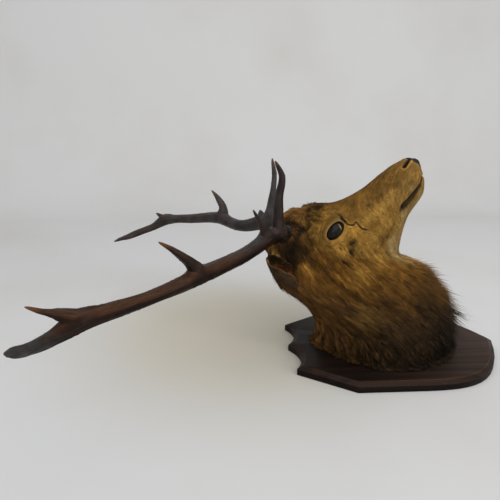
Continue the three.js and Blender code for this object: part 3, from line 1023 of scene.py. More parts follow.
def nose_share(places):
    """1 on the bare leather of the nose, 0 on hair."""
    away = np.linalg.norm((outwards(places) - NOSE_CENTRE) / NOSE_REACH, axis=-1)
    return 1 - smooth_step(0.9, 1.1, away + 0.12 * (cloud(places, 5.0) - 0.5))


# ---- Materials ----


def rgba(tint):
    """A colour with full cover, from a hex code or from three values."""
    return (*(linear(tint) if isinstance(tint, str) else tint), 1.0)


class Finish:
    """A material with one Principled shader and the nodes that feed it."""

    def __init__(self, name, roughness, specular):
        self.material = bpy.data.materials.new(name)
        self.material.use_nodes = True
        self.tree = self.material.node_tree
        self.shader = self.tree.nodes["Principled BSDF"]
        self.feed(self.shader, {"Roughness": roughness, "Specular IOR Level": specular})
        self.places = self.add("TexCoord", "Object")

    def feed(self, node, inputs):
        """Links the inputs that are given an output, and sets the others."""
        for key, value in inputs.items():
            if isinstance(value, bpy.types.NodeSocket):
                self.tree.links.new(value, node.inputs[key])
            else:
                node.inputs[key].default_value = value

    def add(self, kind, output, inputs=None, **settings):
        """An output of a new node."""
        node = self.tree.nodes.new("ShaderNode" + kind)
        for key, value in settings.items():
            setattr(node, key, value)
        self.feed(node, inputs or {})
        return node.outputs[output]

    def attribute(self, name, output="Fac"):
        return self.add("Attribute", output, attribute_name=name)

    def noise(self, width, detail, places=None, **more):
        """Noise with features of a width in metres."""
        places = self.places if places is None else places
        inputs = {"Vector": places, "Scale": 1 / width, "Detail": detail, **more}
        return self.add("TexNoise", "Fac", inputs)

    def ranged(self, value, low, high, least, most, **settings):
        """A value carried from one range to another."""
        inputs = {
            "Value": value, "From Min": low, "From Max": high, "To Min": least, "To Max": most
        }
        return self.add("MapRange", "Result", inputs, **settings)

    def math(self, operation, *values):
        return self.add("Math", 0, dict(enumerate(values)), operation=operation)

    def vector(self, operation, *values, output=0):
        return self.add("VectorMath", output, dict(enumerate(values)), operation=operation)

    def scaled(self, tint, share):
        return self.add("VectorMath", 0, {0: tint, "Scale": share}, operation="SCALE")

    def mixed(self, share, below, above):
        inputs = {"Factor": share, "A": below, "B": rgba(above)}
        return self.add("Mix", "Result", inputs, data_type="RGBA")

    def ramp(self, value, *stops):
        """Colours between stops of a value."""
        made = self.add("ValToRGB", "Color", {"Fac": value})
        elements = made.node.color_ramp.elements
        for i, (place, tint) in enumerate(stops):
            stop = elements[i] if i < 2 else elements.new(place)
            stop.position = place
            stop.color = rgba(tint)
        return made

    def close(self, tint, height=None, strength=0.0, depth=0.0):
        """The material with its colour and, where it has one, its bump."""
        self.feed(self.shader, {"Base Color": tint})
        if height is not None:
            inputs = {"Height": height, "Strength": strength, "Distance": depth}
            self.feed(self.shader, {"Normal": self.add("Bump", 0, inputs)})
        return self.material


def hide_finish():
    """Tanned deer hide with its short flat hair: matt, streaked along the lie."""
    finish = Finish("tanned_deer_hide", 0.78, 0.1)
    streak = finish.attribute("streaks")
    # Single hairs are 0.1 mm thick; they are drawn as clumps of 1.5 mm so that they show.
    fine = finish.noise(0.0015, 3.0)
    shade = finish.ranged(streak, 0.3, 0.7, 0.58, 1.15)
    grain = finish.ranged(fine, 0.0, 1.0, 0.75, 1.25)
    marks = finish.attribute("markings", "Color")
    tint = finish.scaled(marks, finish.math("MULTIPLY", shade, grain))
    return finish.close(tint, finish.math("ADD", streak, fine), 0.7, 0.0008)


def hair_finish(name, root_shade, tip_shade, roughness):
    """Deer guard hair: dark at the root, sun-bleached towards the tip, with a soft shine."""
    finish = Finish(name, roughness, 0.1)
    shade = finish.ranged(
        finish.attribute("tuft_along"), 0.0, 0.75, root_shade, tip_shade,
        interpolation_type="SMOOTHSTEP",
    )
    # Dust and grease dull the coat in patches about 12 mm across.
    dull = finish.ranged(finish.noise(0.012, 2.0), 0.3, 0.7, 0.85, 1.15)
    tint = finish.attribute("tuft_colour", "Color")
    return finish.close(finish.scaled(tint, finish.math("MULTIPLY", shade, dull)))


def nose_finish(settings):
    """Dried nose leather: black, cobbled in cells of 1.6 mm, half glossy from varnish."""
    finish = Finish("dried_nose_leather", 0.5, 0.07)
    cells = finish.add(
        "TexVoronoi", "Distance", {"Vector": finish.places, "Scale": 1 / 0.0016},
        feature="DISTANCE_TO_EDGE",
    )
    tint = finish.mixed(finish.noise(0.004, 3.0), rgba(settings.nose), "#26211c")
    return finish.close(tint, cells, 0.6, 0.0005)


def eye_finish(settings):
    """A blown glass eye painted behind: near-black brown iris, black pupil, mirror gloss."""
    finish = Finish("painted_glass_eye", 0.03, 0.18)
    finish.feed(finish.shader, {"IOR": 1.52})
    long_, _, short = eye_axes()
    # Both eyes share one pattern: absolute places put them in one corner of space.
    both = finish.vector("ABSOLUTE", finish.places)
    away = finish.vector("SUBTRACT", both, Vector((-EYE[0], EYE[1], EYE[2])) * MM)
    flat = {}
    for key, axis, half in (("X", long_, 0.012), ("Y", short, 0.008)):
        way = Vector((-axis[0], axis[1], axis[2])) / half
        flat[key] = finish.vector("DOT_PRODUCT", away, way, output="Value")
    ring = finish.vector("LENGTH", finish.add("CombineXYZ", 0, flat), output="Value")
    stops = ((0.55, "#060505"), (0.72, settings.glass), (1.0, "#0a0807"))
    return finish.close(finish.ramp(ring, *stops))


def antler_finish(settings):
    """Varnished antler: near-black in the hollows, brown, golden where it faces up and out towards -Y
    (partly rubbed, partly a painted highlight), paler at the tips, with a grain that runs along each
    branch."""
    finish = Finish("varnished_antler", 0.4, 0.12)
    # The ridges of the grain are about 2 mm apart, and the stains about 25 mm.
    grain = finish.noise(0.002, 4.0, finish.attribute("grain", "Vector"), Roughness=0.6)
    clouds = finish.noise(0.025, 3.0)
    stain = finish.ranged(clouds, 0.38, 0.62, 0.0, 1.0)
    tint = finish.mixed(stain, rgba(settings.dark), settings.brown)
    streaky = finish.ranged(grain, 0.3, 0.55, 0.35, 1.0)
    # Golden wear, partly a painted highlight on the sides that face up and towards -Y.
    wear_and_highlight = finish.math("MULTIPLY", finish.attribute("rubbed"), streaky)
    tint = finish.mixed(wear_and_highlight, tint, settings.warm)
    # Grey for dust, and a painted sheen where surfaces face up.
    patchy = finish.ranged(clouds, 0.35, 0.6, 0.5, 1.0)
    dust = finish.math("MULTIPLY", finish.attribute("dusty"), patchy)
    tint = finish.mixed(dust, tint, settings.grey)
    pale = finish.ranged(finish.attribute("tip_share"), 0.3, 1.0, 0.0, 0.9)
    tint = finish.mixed(pale, tint, settings.tip)
    lines = finish.ranged(grain, 0.35, 0.65, 0.68, 1.2)
    return finish.close(finish.scaled(tint, lines), grain, 0.4, 0.0006)


# Heights on the shield's edge, in metres: the foot and top of the upright edge's shade, and
# the top of the sloping chamfer, whose brighter tone is a painted sheen.
UPRIGHT_EDGE = (0.012, 0.0145)
CHAMFER_TOP = (0.0188, 0.0194)
CHAMFER_SHEEN_TONE = 1.8
# The rubbed arrises at either end of the chamfer: height, reach and strength.
ARRISES = ((0.0135, 0.0008, 0.2), (0.0192, 0.0006, 0.4))


def board_finish(settings):
    """Stained and varnished mahogany: bands of grain along the shield, worn bright edges."""
    finish = Finish("varnished_mahogany", 0.45, 0.1)
    # The pores are 30 times as long as they are wide, and the bands about 12 mm apart.
    lengthwise = finish.add("Mapping", 0, {"Vector": finish.places, "Scale": (0.033, 1.0, 1.0)})
    bands = finish.noise(0.012, 5.0, lengthwise, Distortion=0.15)
    pores = finish.noise(0.0011, 2.0, lengthwise)
    stain = finish.ramp(bands, (0.36, settings.dark), (0.68, settings.red))
    at = finish.add("SeparateXYZ", "X", {"Vector": finish.places}).node.outputs
    # Painted reflection: the top is drawn up to 3.5 times brighter towards the pointed end, where the
    # window is reflected.
    tone = finish.ranged(at["X"], -0.1, 0.2, 1.0, 3.5)
    # Painted sheen: the chamfer, which faces the sky, keeps one brighter tone along its whole length.
    on_face = finish.ranged(at["Z"], *CHAMFER_TOP, 0.0, 1.0)
    tone = finish.math("SUBTRACT", tone, CHAMFER_SHEEN_TONE)
    tone = finish.math("MULTIPLY_ADD", tone, on_face, CHAMFER_SHEEN_TONE)
    # The upright edge is darker than the face, down to 0.3 of its tone below 12 mm.
    upright = finish.ranged(at["Z"], *UPRIGHT_EDGE, 0.3, 1.0)
    tint = finish.scaled(stain, finish.math("MULTIPLY", tone, upright))
    chips = finish.noise(0.03, 5.0)
    for height, reach, most in ARRISES:
        away = finish.math("ABSOLUTE", finish.math("SUBTRACT", at["Z"], height))
        line = finish.ranged(away, reach * 0.3, reach, 1.0, 0.0)
        broken = finish.ranged(chips, 0.35, 0.65, 0.2 * most, most)
        tint = finish.mixed(finish.math("MULTIPLY", line, broken), tint, settings.worn)
    # Dust specks about 1 mm across.
    specks = finish.ranged(finish.noise(0.0028, 1.0), 0.76, 0.82, 0.0, 0.35)
    tint = finish.mixed(specks, tint, "#a3978a")
    finish.feed(finish.shader, {"Roughness": finish.ranged(bands, 0.0, 1.0, 0.36, 0.52)})
    return finish.close(tint, pores, 0.25, 0.0004)


def paper_finish(settings):
    """A roll of matt background paper, faintly soiled in broad patches."""
    finish = Finish("matt_paper", 0.95, 0.1)
    soil = finish.ranged(finish.noise(0.625, 4.0), 0.45, 0.75, 0.0, 0.2)
    tint = finish.mixed(soil, rgba(settings.paper), "#bfb7a4")
    # The paper is yellower and darker round the mount, out to half a metre from a point under it.
    away = finish.vector("DISTANCE", finish.places, (-0.35, 0.1, 0.0), output="Value")
    used = finish.ranged(away, 0.1, 0.5, 0.55, 0.0, interpolation_type="SMOOTHSTEP")
    return finish.close(finish.mixed(used, tint, "#c4b895"))


def ear_finish():
    """Dried ear: thin brown hide outside, bare orange-brown skin in the cup, pale at the rim."""
    finish = Finish("dried_ear_hide", 0.6, 0.15)
    fibre = finish.noise(0.003, 4.0)
    shade = finish.ranged(fibre, 0.3, 0.7, 0.7, 1.3)
    tint = finish.scaled(finish.attribute("markings", "Color"), shade)
    return finish.close(tint, fibre, 0.6, 0.0006)


# ---- Pieces: skin, nose, eyes and ears ----

LID_COLUMNS = 144
# The lids' rings from the glass outwards: share of the eye's half-lengths, and height over
# the glass in margins of the lid.
LID_RINGS = (
    (0.0, -0.6), (0.015, 0.1), (0.02, 0.8), (0.05, 1.15), (0.11, 1.2), (0.2, 1.0),
    (0.3, 0.8), (0.42, 0.6), (0.54, 0.5), (0.64, 0.3), (0.72, -0.1),
)
LID_STEPS = np.linspace(0, 1, 25) ** 1.4 * LID_RINGS[-1][0]
# How far the skin is looked for round the eye, and the ring where the lids meet it.
LID_REACH = 60
LID_FOOT = 1.58
# Where the upper lid folds, counted like the rings.
LID_FOLD = 0.36
FLESH = ("mane", "neck", "head", "muzzle", "lower_jaw")


def glass_height(ring):
    return EYE_HALF[1] * np.sqrt(np.maximum(1 - ring**2, 0))


def lid_grid(skin, side, margin):
    """Rings of the lids round one eye, in millimetres, tucked under the skin outside."""
    along, out, across = eye_place(skin.reshape(-1, 3))
    near = (np.hypot(along, across) < LID_REACH) & (out > -LID_REACH / 3)
    near &= np.sign(skin.reshape(-1, 3)[:, 1]) == side
    spots = np.stack([along[near], across[near]], axis=1)
    heights = out[near]
    angle = turns(LID_COLUMNS)
    upper = np.clip(np.sin(angle), 0, 1)
    front = bell(np.minimum(angle, 2 * math.pi - angle), 0.3)
    back = bell(angle - math.pi, 0.35)
    edge = 0.93 - 0.02 * upper - 0.04 * front - 0.03 * back

    foot = (EYE_HALF[0] * LID_FOOT * np.cos(angle), EYE_HALF[2] * LID_FOOT * np.sin(angle))
    away = np.linalg.norm(np.stack(foot, 1)[:, None] - spots[None], axis=2)
    weight = bell(away, 2.0) + 1e-12
    outer = (weight * heights).sum(1) / weight.sum(1)
    outer = (np.roll(outer, 1) + outer * 2 + np.roll(outer, -1)) / 4
    rows = []
    for step in LID_STEPS:
        rise = np.interp(step, *zip(*LID_RINGS))
        ring = edge + step
        dome = glass_height(edge) + margin * rise * (1 + 0.25 * upper)
        dome = np.where(step < 0.04, glass_height(ring) + margin * rise, dome - 3.0 * step)
        share = smooth_step(0.1, 0.7, step)
        crease = -1.3 * bell(step - LID_FOLD, 0.05) * upper
        height = dome * (1 - share) + (outer - 0.2 + margin * rise * 0.3) * share + crease
        rows.append(at_eye(ring * np.cos(angle), height, ring * np.sin(angle)))
    places = np.stack(rows)
    depth = slit_depth(places) * smooth_step(0.1, 0.2, LID_STEPS)[:, None]
    places = places + depth[..., None] * eye_axes()[1]
    places[..., 1] *= side
    return places


def third_lid_glint(side):
    """The pale edge of the third lid, which crosses the glass near its front corner: a painted
    highlight, standing for the window's reflection there.
    """
    t = np.linspace(-1, 1, 15)
    along, across = 0.55 + 0.1 * t - 0.06 * t**2, 0.42 * t
    height = glass_height(np.hypot(along, across)) + 0.25
    points = at_eye(along, height, across)
    points[:, 1] *= side
    return branch_tube(points, 0.62 - 0.4 * t**2, np.ones(len(t)))


def lid_colours(settings, coat, lids):
    """The lids' colours: the coat's, olive round the eye, and a dark bare edge."""
    near = np.array([coat.nearest(place) for place in lids.reshape(-1, 3)])
    own = coat.colours.reshape(-1, 3)[near].reshape(*lids.shape)
    rim = np.interp(LID_STEPS, (0.025, 0.07), (1, 0))[:, None]
    olive = np.interp(LID_STEPS, (0.08, 0.2, 0.5), (0.0, 0.5, 0.0))[:, None]
    own = worn(own, olive * np.ones(LID_COLUMNS), in_palette(settings.coat, "olive"))
    own = own * (0.8 + 0.4 * cloud(lids, 6.0, 2.5))[..., None]
    # The upper lid's fold lies in shade.
    fold = np.clip(np.sin(turns(LID_COLUMNS) - 0.3), 0, 1)[None, :] ** 0.5
    fold = fold * bell(LID_STEPS - LID_FOLD, 0.06)[:, None]
    own = worn(own, fold * 0.45, in_palette(settings.coat, "umber"))
    slit, share = slit_from_side(lids)
    dark = bell(slit, 3.1 - 1.6 * share, 6) * smooth_step(0.08, 0.2, LID_STEPS)[:, None]
    own = worn(own, dark, in_palette(settings.coat, "black"))
    own = worn(own, rim * np.ones(LID_COLUMNS), np.array(settings.head.lid))
    return own


def nose_cap(coat):
    """Rows that close the skin ahead of its first one, their middle and the way ahead."""
    first = coat.places[0]
    middle = first.mean(0)
    ahead = unit(middle - coat.places[3].mean(0))
    rises = np.arange(CAP_ROWS - 1, 0, -1) / CAP_ROWS * math.pi / 2
    rows = [
        middle + (first - middle) * math.cos(t) + ahead * CAP_BULGE * math.sin(t) for t in rises
    ]
    return np.stack(rows), middle, ahead


class STAG_OT_skin(bpy.types.Operator):
    """Add the skin of head and neck with its lids"""

    bl_idname = "stag.skin"
    bl_label = "Skin"

    def execute(self, context):
        settings = context.scene.stag_mount
        coat = Coat.get(settings.coat)
        cap, middle, ahead = nose_cap(coat)
        last = coat.places[-1]
        inner = last.mean(0)
        foot = np.stack([inner + (last - inner) * share for share in (0.6, 0.25)])
        body = np.concatenate([cap, coat.places, foot])
        corners = [body.reshape(-1, 3), middle[None] + ahead * CAP_BULGE, inner[None]]
        quads = [grid_quads(len(body), COLUMNS)]
        fans = [end_fans(len(body), COLUMNS)]
        marks = [
            np.repeat(coat.colours[:1], len(cap), axis=0).reshape(-1, 3),
            coat.colours.reshape(-1, 3),
            np.repeat(coat.colours[-1:], len(foot), axis=0).reshape(-1, 3),
            coat.colours[[0, -1]].mean(1),
        ]
        noise = np.random.default_rng(SEED).random(coat.lie.places.shape[:2])
        streaks = coat.lie.streaks(noise, 6.0, 6)[: len(coat.at)]
        streaks = np.clip((streaks - 0.5) * 2.2 + 0.5, 0, 1)
        streaks = np.pad(streaks, ((len(cap), len(foot)), (0, 0)), constant_values=0.5)
        streaks = [streaks.ravel(), [0.5, 0.5]]
        count = len(body) * COLUMNS + 2
        for side in (-1, 1):
            edge, edge_quads, edge_fans = third_lid_glint(side)
            quads.append(edge_quads + count)
            fans.append(edge_fans + count)
            count += len(edge)
            lids = lid_grid(coat.places, side, settings.head.lid_margin / MM)
            quads.append(grid_quads(len(lids), LID_COLUMNS, count, flip=side < 0))
            corners += [edge, lids.reshape(-1, 3)]
            # The third lid's edge is pale all over, a painted highlight on the glass.
            marks.append(np.tile(in_palette(settings.coat, "pale"), (len(edge), 1)))
            marks.append(lid_colours(settings, coat, lids).reshape(-1, 3))
            streaks.append(np.full(len(edge) + lids.shape[0] * LID_COLUMNS, 0.5))
            count += lids.shape[0] * LID_COLUMNS
        made = new_object(
            "deer_skin", np.concatenate(corners), np.concatenate(quads), np.concatenate(fans)
        )
        write_colours(made, "markings", np.concatenate(marks))
        write_attribute(made, "streaks", "FLOAT", "value", np.concatenate(streaks))
        dress(made, hide_finish(), "face_coat", *FLESH)
        return {"FINISHED"}


# Rows of the skin that the nose leather covers, its height over the skin, and how far its edge
# is tucked in.
NOSE_ROWS = 40
NOSE_LIFT = 0.65
NOSE_TUCK = 0.45


class STAG_OT_nose(bpy.types.Operator):
    """Add the bare leather of the nose"""

    bl_idname = "stag.nose"
    bl_label = "Nose"

    def execute(self, context):
        settings = context.scene.stag_mount
        coat = Coat.get(settings.coat)
        cap, middle, ahead = nose_cap(coat)
        places = np.concatenate([cap, coat.places[:NOSE_ROWS]])
        normals = grid_normals(places)
        share = nose_share(places)
        lift = (NOSE_LIFT + NOSE_TUCK) * smooth_step(0.2, 0.8, share) - NOSE_TUCK
        places = places + normals * lift[..., None]
        pole = middle + ahead * (CAP_BULGE + NOSE_LIFT)
        corners = np.concatenate([places.reshape(-1, 3), pole[None]])
        quads = grid_quads(len(places), COLUMNS)
        quads = quads[(share.ravel()[quads] > 0.02).all(axis=1)]
        fan = end_fans(len(places), COLUMNS)[:COLUMNS]
        used = np.unique(np.concatenate([quads.ravel(), fan.ravel()]))
        index = np.full(len(corners), -1)
        index[used] = np.arange(len(used))
        made = new_object("nose_leather", corners[used], index[quads], index[fan])
        select_only(made)
        apply(made, "Wall", "SOLIDIFY", thickness=0.001, offset=-1)
        dress(made, nose_finish(settings.head), "nose_leather", "nose_pad")
        return {"FINISHED"}


# Rings of the glass between its poles, corners in each, and how much steeper its front is.
GLASS_RINGS = 31
GLASS_COLUMNS = 64
GLASS_DOME = 0.05


def glass_ball():
    """Corners of a ball, ring by ring from its front, and then its two poles."""
    tilt = np.linspace(0, math.pi, GLASS_RINGS + 2)[1:-1, None]
    turn = turns(GLASS_COLUMNS)
    wide, high = np.sin(tilt), np.cos(tilt) + 0 * turn
    rings = np.stack([wide * np.cos(turn), wide * np.sin(turn), high], -1)
    return np.concatenate([rings.reshape(-1, 3), [(0, 0, 1), (0, 0, -1)]])


class STAG_OT_eyes(bpy.types.Operator):
    """Add both glass eyes"""

    bl_idname = "stag.eyes"
    bl_label = "Glass eyes"

    def execute(self, context):
        settings = context.scene.stag_mount.head
        finish = eye_finish(settings)
        longer = settings.eye_length / MM / (2 * EYE_HALF[0])
        x, y, z = glass_ball().T
        dome = np.where(z > 0, 1 + GLASS_DOME * z**2, 1)
        places = at_eye(x * longer, z * EYE_HALF[1] * dome, y * longer)
        fans = end_fans(GLASS_RINGS, GLASS_COLUMNS)
        for name, side in SIDES:
            quads = grid_quads(GLASS_RINGS, GLASS_COLUMNS, flip=side < 0)
            made = new_object(f"glass_eye_{name}", places * (1, side, 1), quads, fans[:, ::side])
            dress(made, finish, "eye_glass", f"eye_{name}")
        return {"FINISHED"}


# The lids' hair flows back from the nose and parts round the eye.
LID_FLOW = (-0.8, 0.3, -0.6)
LID_TUFTS = 5500
LID_SEED = SEED + 77
LASHES = 22
LASH_RING = 5.0


def lid_map(row, column, side):
    """Places on the map of both eyes' lids, the right one's in its first half."""
    column = column + LID_COLUMNS * (side > 0)
    return map_of(row, column, (0, len(LID_STEPS)), (0, 2 * LID_COLUMNS))


class STAG_OT_lid_hair(bpy.types.Operator):
    """Add the short hair of the lids and the lashes"""

    bl_idname = "stag.lid_hair"
    bl_label = "Lid hair and lashes"

    def execute(self, context):
        settings = context.scene.stag_mount
        coat = Coat.get(settings.coat)
        rng = np.random.default_rng(LID_SEED)
        parts = []
        for side in (-1, 1):
            lids = lid_grid(coat.places, side, settings.head.lid_margin / MM)
            normals = grid_normals(lids)
            normals = normals * np.sign((normals @ (eye_axes()[1] * (1, side, 1))).mean())
            lie = Lie(lids, normals, np.zeros(lids.shape[:2]), np.ones(lids.shape[:2]))
            away, round_ = unit(lie.down), unit(lie.round)
            flow = np.array(LID_FLOW) * (1, side, 1) + 1.4 * away
            lie.turn = np.arctan2((flow * round_).sum(-1), (flow * away).sum(-1))
            slit, _ = slit_from_side(lids)
            weight = smooth_step(0.06, 0.16, LID_STEPS)[:, None] * (slit > 2.6)
            row, column = choose_roots(lie, weight, LID_TUFTS, rng)
            colours = lid_colours(settings, coat, lids)
            tint = lie.sample(colours, row, column) * rng.normal(1, 0.12, LID_TUFTS)[:, None]
            outer = smooth_step(0.2, 0.6, LID_STEPS)
            outer = np.interp(row, np.arange(len(LID_STEPS)), outer)
            length = rng.uniform(2.2, 4.4, LID_TUFTS) * (1 + 0.6 * outer)
            height = rng.uniform(0.1, 0.6, LID_TUFTS) * (1 + outer)
            swirl = rng.normal(0, 0.2, LID_TUFTS)
            hair = tuft_paths(
                lie, row, column, length, height, 1, swirl, np.ones(LID_TUFTS), 0.03, (0, 0, 0)
            )
            spot = lid_map(row, column, side)
            parts.append((*hair, rng.uniform(0.6, 0.9, LID_TUFTS), tint, spot))
            lie.turn = lie.turn * 0
            row = np.full(LASHES, LASH_RING)
            column = np.linspace(0.06, 0.44, LASHES) * LID_COLUMNS + rng.normal(0, 0.2, LASHES)
            length = rng.uniform(3, 5, LASHES)
            hair = tuft_paths(
                lie, row, column, length, length * 0, 1, rng.normal(0, 0.25, LASHES),
                np.ones(LASHES), 1.6, (-0.2, 0, -0.1),
            )
            spot = lid_map(row, column, side)
            black = np.broadcast_to(in_palette(settings.coat, "black"), (LASHES, 3))
            parts.append((*hair, np.full(LASHES, 0.4), black, spot))
        made = tuft_mesh("lid_hair", *(np.concatenate(values) for values in zip(*parts)))
        dress(made, hair_finish("lid_hair", 0.88, 1.2, 0.62), "face_coat")
        return {"FINISHED"}


# The ears: the same leaf as the frame's, thinner by the coat and with a curled, dried edge.
EAR_BASE = (-226, 60, 183)
EAR_TIP = (-293, 104, 247)
EAR_BOW = 16
EAR_OPEN = (0.78, 0.2, 0.75)
EAR_HALF_WIDTH = 43
EAR_FULLNESS = 0.65
EAR_CUP = 22
EAR_THICKNESS = 2.6
EAR_ROOT = 18
EAR_ROWS = 72
EAR_COLUMNS = 96
EAR_SEED = SEED + 40
# The hair on the back of an ear and in its cup: count, shortest, longest and how far it stands.
EAR_HAIR = ((9000, 5, 9, 0.12), (1000, 5, 12, 0.5))


def ear_grid(side):
    """The ear's rows from root to tip and columns round its edge, hollow side first."""
    base, tip = np.array(EAR_BASE, float), np.array(EAR_TIP, float)
    along = tip - base
    length = np.linalg.norm(along)
    along = along / length
    out = np.array(EAR_OPEN, float)
    out = unit(out - along * (out @ along))
    across = np.cross(along, out)
    run = (1 - np.cos(np.linspace(0.04, 0.985, EAR_ROWS) * math.pi)) / 2
    run = run[:, None]
    breadth, depth = np.cos(turns(EAR_COLUMNS))[None], np.sin(turns(EAR_COLUMNS))[None]
    ring = np.sqrt(np.maximum(1 - (2 * run - 1) ** 2, 0))
    half_width = EAR_HALF_WIDTH * np.sin(math.pi * run) ** EAR_FULLNESS
    half_width = half_width * (1 + 0.03 * np.sin(run * 13 + breadth * 2.2) * np.abs(breadth))
    bend = breadth * half_width / EAR_CUP
    root = (EAR_ROOT - EAR_THICKNESS) * (1 - run) ** 3
    lift = depth * np.minimum(1, ring * 2) * ((EAR_THICKNESS + root) / 2)
    curl = 2.4 * np.maximum(np.abs(breadth) - 0.75, 0) * np.sin(run * 9 + 1)
    crumple = 1.6 * np.sin(run * 21 + breadth * 4) * np.abs(breadth) ** 2
    reach = EAR_CUP - lift - curl * 3
    sag = EAR_BOW * np.sin(math.pi * run)
    cup = EAR_CUP * (1 - np.cos(bend)) + lift * np.cos(bend) - sag + crumple * 0.6
    places = base + along * (run * length)[..., None]
    places = places + across * (reach * np.sin(bend))[..., None] + out * cup[..., None]
    places = places + 0.9 * (cloud(places, 9.0)[..., None] - 0.5) * out
    places[..., 1] *= side
    return places


# The cup's colours from root to tip: bare skin between dark hair, whose black bands also paint the
# hollow's shade, and a tan tip.
EAR_BANDS = (
    (0, "black"), (0.1, "umber"), (0.2, "skin"), (0.5, "skin"), (0.6, "umber"),
    (0.7, "black"), (0.78, "brown"), (0.84, "tan"), (1, "tan"),
)


def ear_colours(settings, places):
    """Colours over the ear's grid: hollow side, back and rim."""
    depth = np.sin(turns(EAR_COLUMNS))[None, :]
    run = np.linspace(0, 1, len(places))[:, None]
    inside = smooth_step(0.1, 0.5, depth) * np.ones_like(run)
    rim = bell(depth, 0.22) * smooth_step(0.15, 0.4, run)
    bands, names = zip(*EAR_BANDS)
    shades = [
        np.array(settings.head.ear_inside) if name == "skin" else in_palette(settings.coat, name)
        for name in names
    ]
    hollow = graded(run + 0.1 * (cloud(places, 10.0, 3.3) - 0.5), bands, shades)
    colours = np.broadcast_to(np.array(settings.head.ear_back), places.shape)
    tip = smooth_step(0.8, 0.95, run) * np.ones_like(rim) * 0.7
    colours = worn(colours, tip, in_palette(settings.coat, "brown"))
    colours = worn(colours, inside, hollow)
    colours = worn(colours, rim * 0.5, in_palette(settings.coat, "olive"))
    return colours * (0.7 + 0.6 * cloud(places, 8.0, 6.1))[..., None]


class STAG_OT_ears(bpy.types.Operator):
    """Add both ears with the hair on their backs"""

    bl_idname = "stag.ears"
    bl_label = "Ears"

    def execute(self, context):
        settings = context.scene.stag_mount
        finish = ear_finish()
        hair = hair_finish("deer_ear_hair", 0.7, 1.1, 0.6)
        for name, side in SIDES:
            places = ear_grid(side)
            colours = ear_colours(settings, places)
            made = self.hide(f"ear_hide_{name}", side, places, colours)
            dress(made, finish, "ear_skin", f"ear_{name}")
            umber = in_palette(settings.coat, "umber")
            coat = self.hair(f"ear_hair_{name}", side, places, colours, umber)
            dress(coat, hair, "ear_skin")
        return {"FINISHED"}

    def hide(self, name, side, places, colours):
        """The leaf of one ear."""
        ends = np.array([places[0].mean(0), places[-1].mean(0)])
        fans = end_fans(len(places), EAR_COLUMNS)
        made = new_object(
            name, np.concatenate([places.reshape(-1, 3), ends]),
            grid_quads(len(places), EAR_COLUMNS, flip=side < 0),
            fans[:, ::-1] if side < 0 else fans,
        )
        both = [colours.reshape(-1, 3), colours[0, :1], colours[-1, :1]]
        write_colours(made, "markings", np.concatenate(both))
        return made

    def hair(self, name, side, places, colours, dark):
        """The hair on one ear's back and in its cup."""
        rng = np.random.default_rng(EAR_SEED + side)
        still = np.zeros(places.shape[:2])
        lie = Lie(places, grid_normals(places) * (-side), still, still)
        depth = np.sin(turns(EAR_COLUMNS))
        run = np.linspace(0, 1, len(places))
        back = smooth_step(-0.1, -0.35, depth)[None, :] * smooth_step(0.02, 0.12, run)[:, None]
        # The cup's long hair stands on its upper side, and hides the hole behind.
        upper = -np.cos(turns(EAR_COLUMNS))
        cup = smooth_step(-0.1, 0.3, depth) * smooth_step(0.35, 0.8, upper)
        cup = cup[None, :] * np.interp(run, (0.1, 0.3, 0.8, 1), (0.5, 1, 1, 0))[:, None]
        parts = []
        for weight, (count, least, most, lift) in zip((back, cup), EAR_HAIR):
            row, column = choose_roots(lie, weight, count, rng)
            length = rng.uniform(least, most, count)
            points, ups = tuft_paths(
                lie, row, column, length, rng.uniform(0.2, 1.2, count), 1,
                rng.normal(0, 0.3, count), rng.uniform(0, 0.3, count) + lift * 0.8, lift,
                (0, 0, 0),
            )
            tint = lie.sample(colours, row, column) * rng.uniform(0.6, 1.35, count)[:, None]
            roots = map_of(row, column % EAR_COLUMNS, (0, EAR_ROWS - 1), (0, EAR_COLUMNS))
            parts.append((points, ups, rng.uniform(0.8, 1.4, count), tint, roots))
        # The cup's hair is dark: dark hair and painted shade of the hollow in one.
        parts[1][3][:] = dark * rng.uniform(0.4, 1.4, (EAR_HAIR[1][0], 1))
        return tuft_mesh(name, *(np.concatenate(values) for values in zip(*parts)))


# ---- Antlers ----

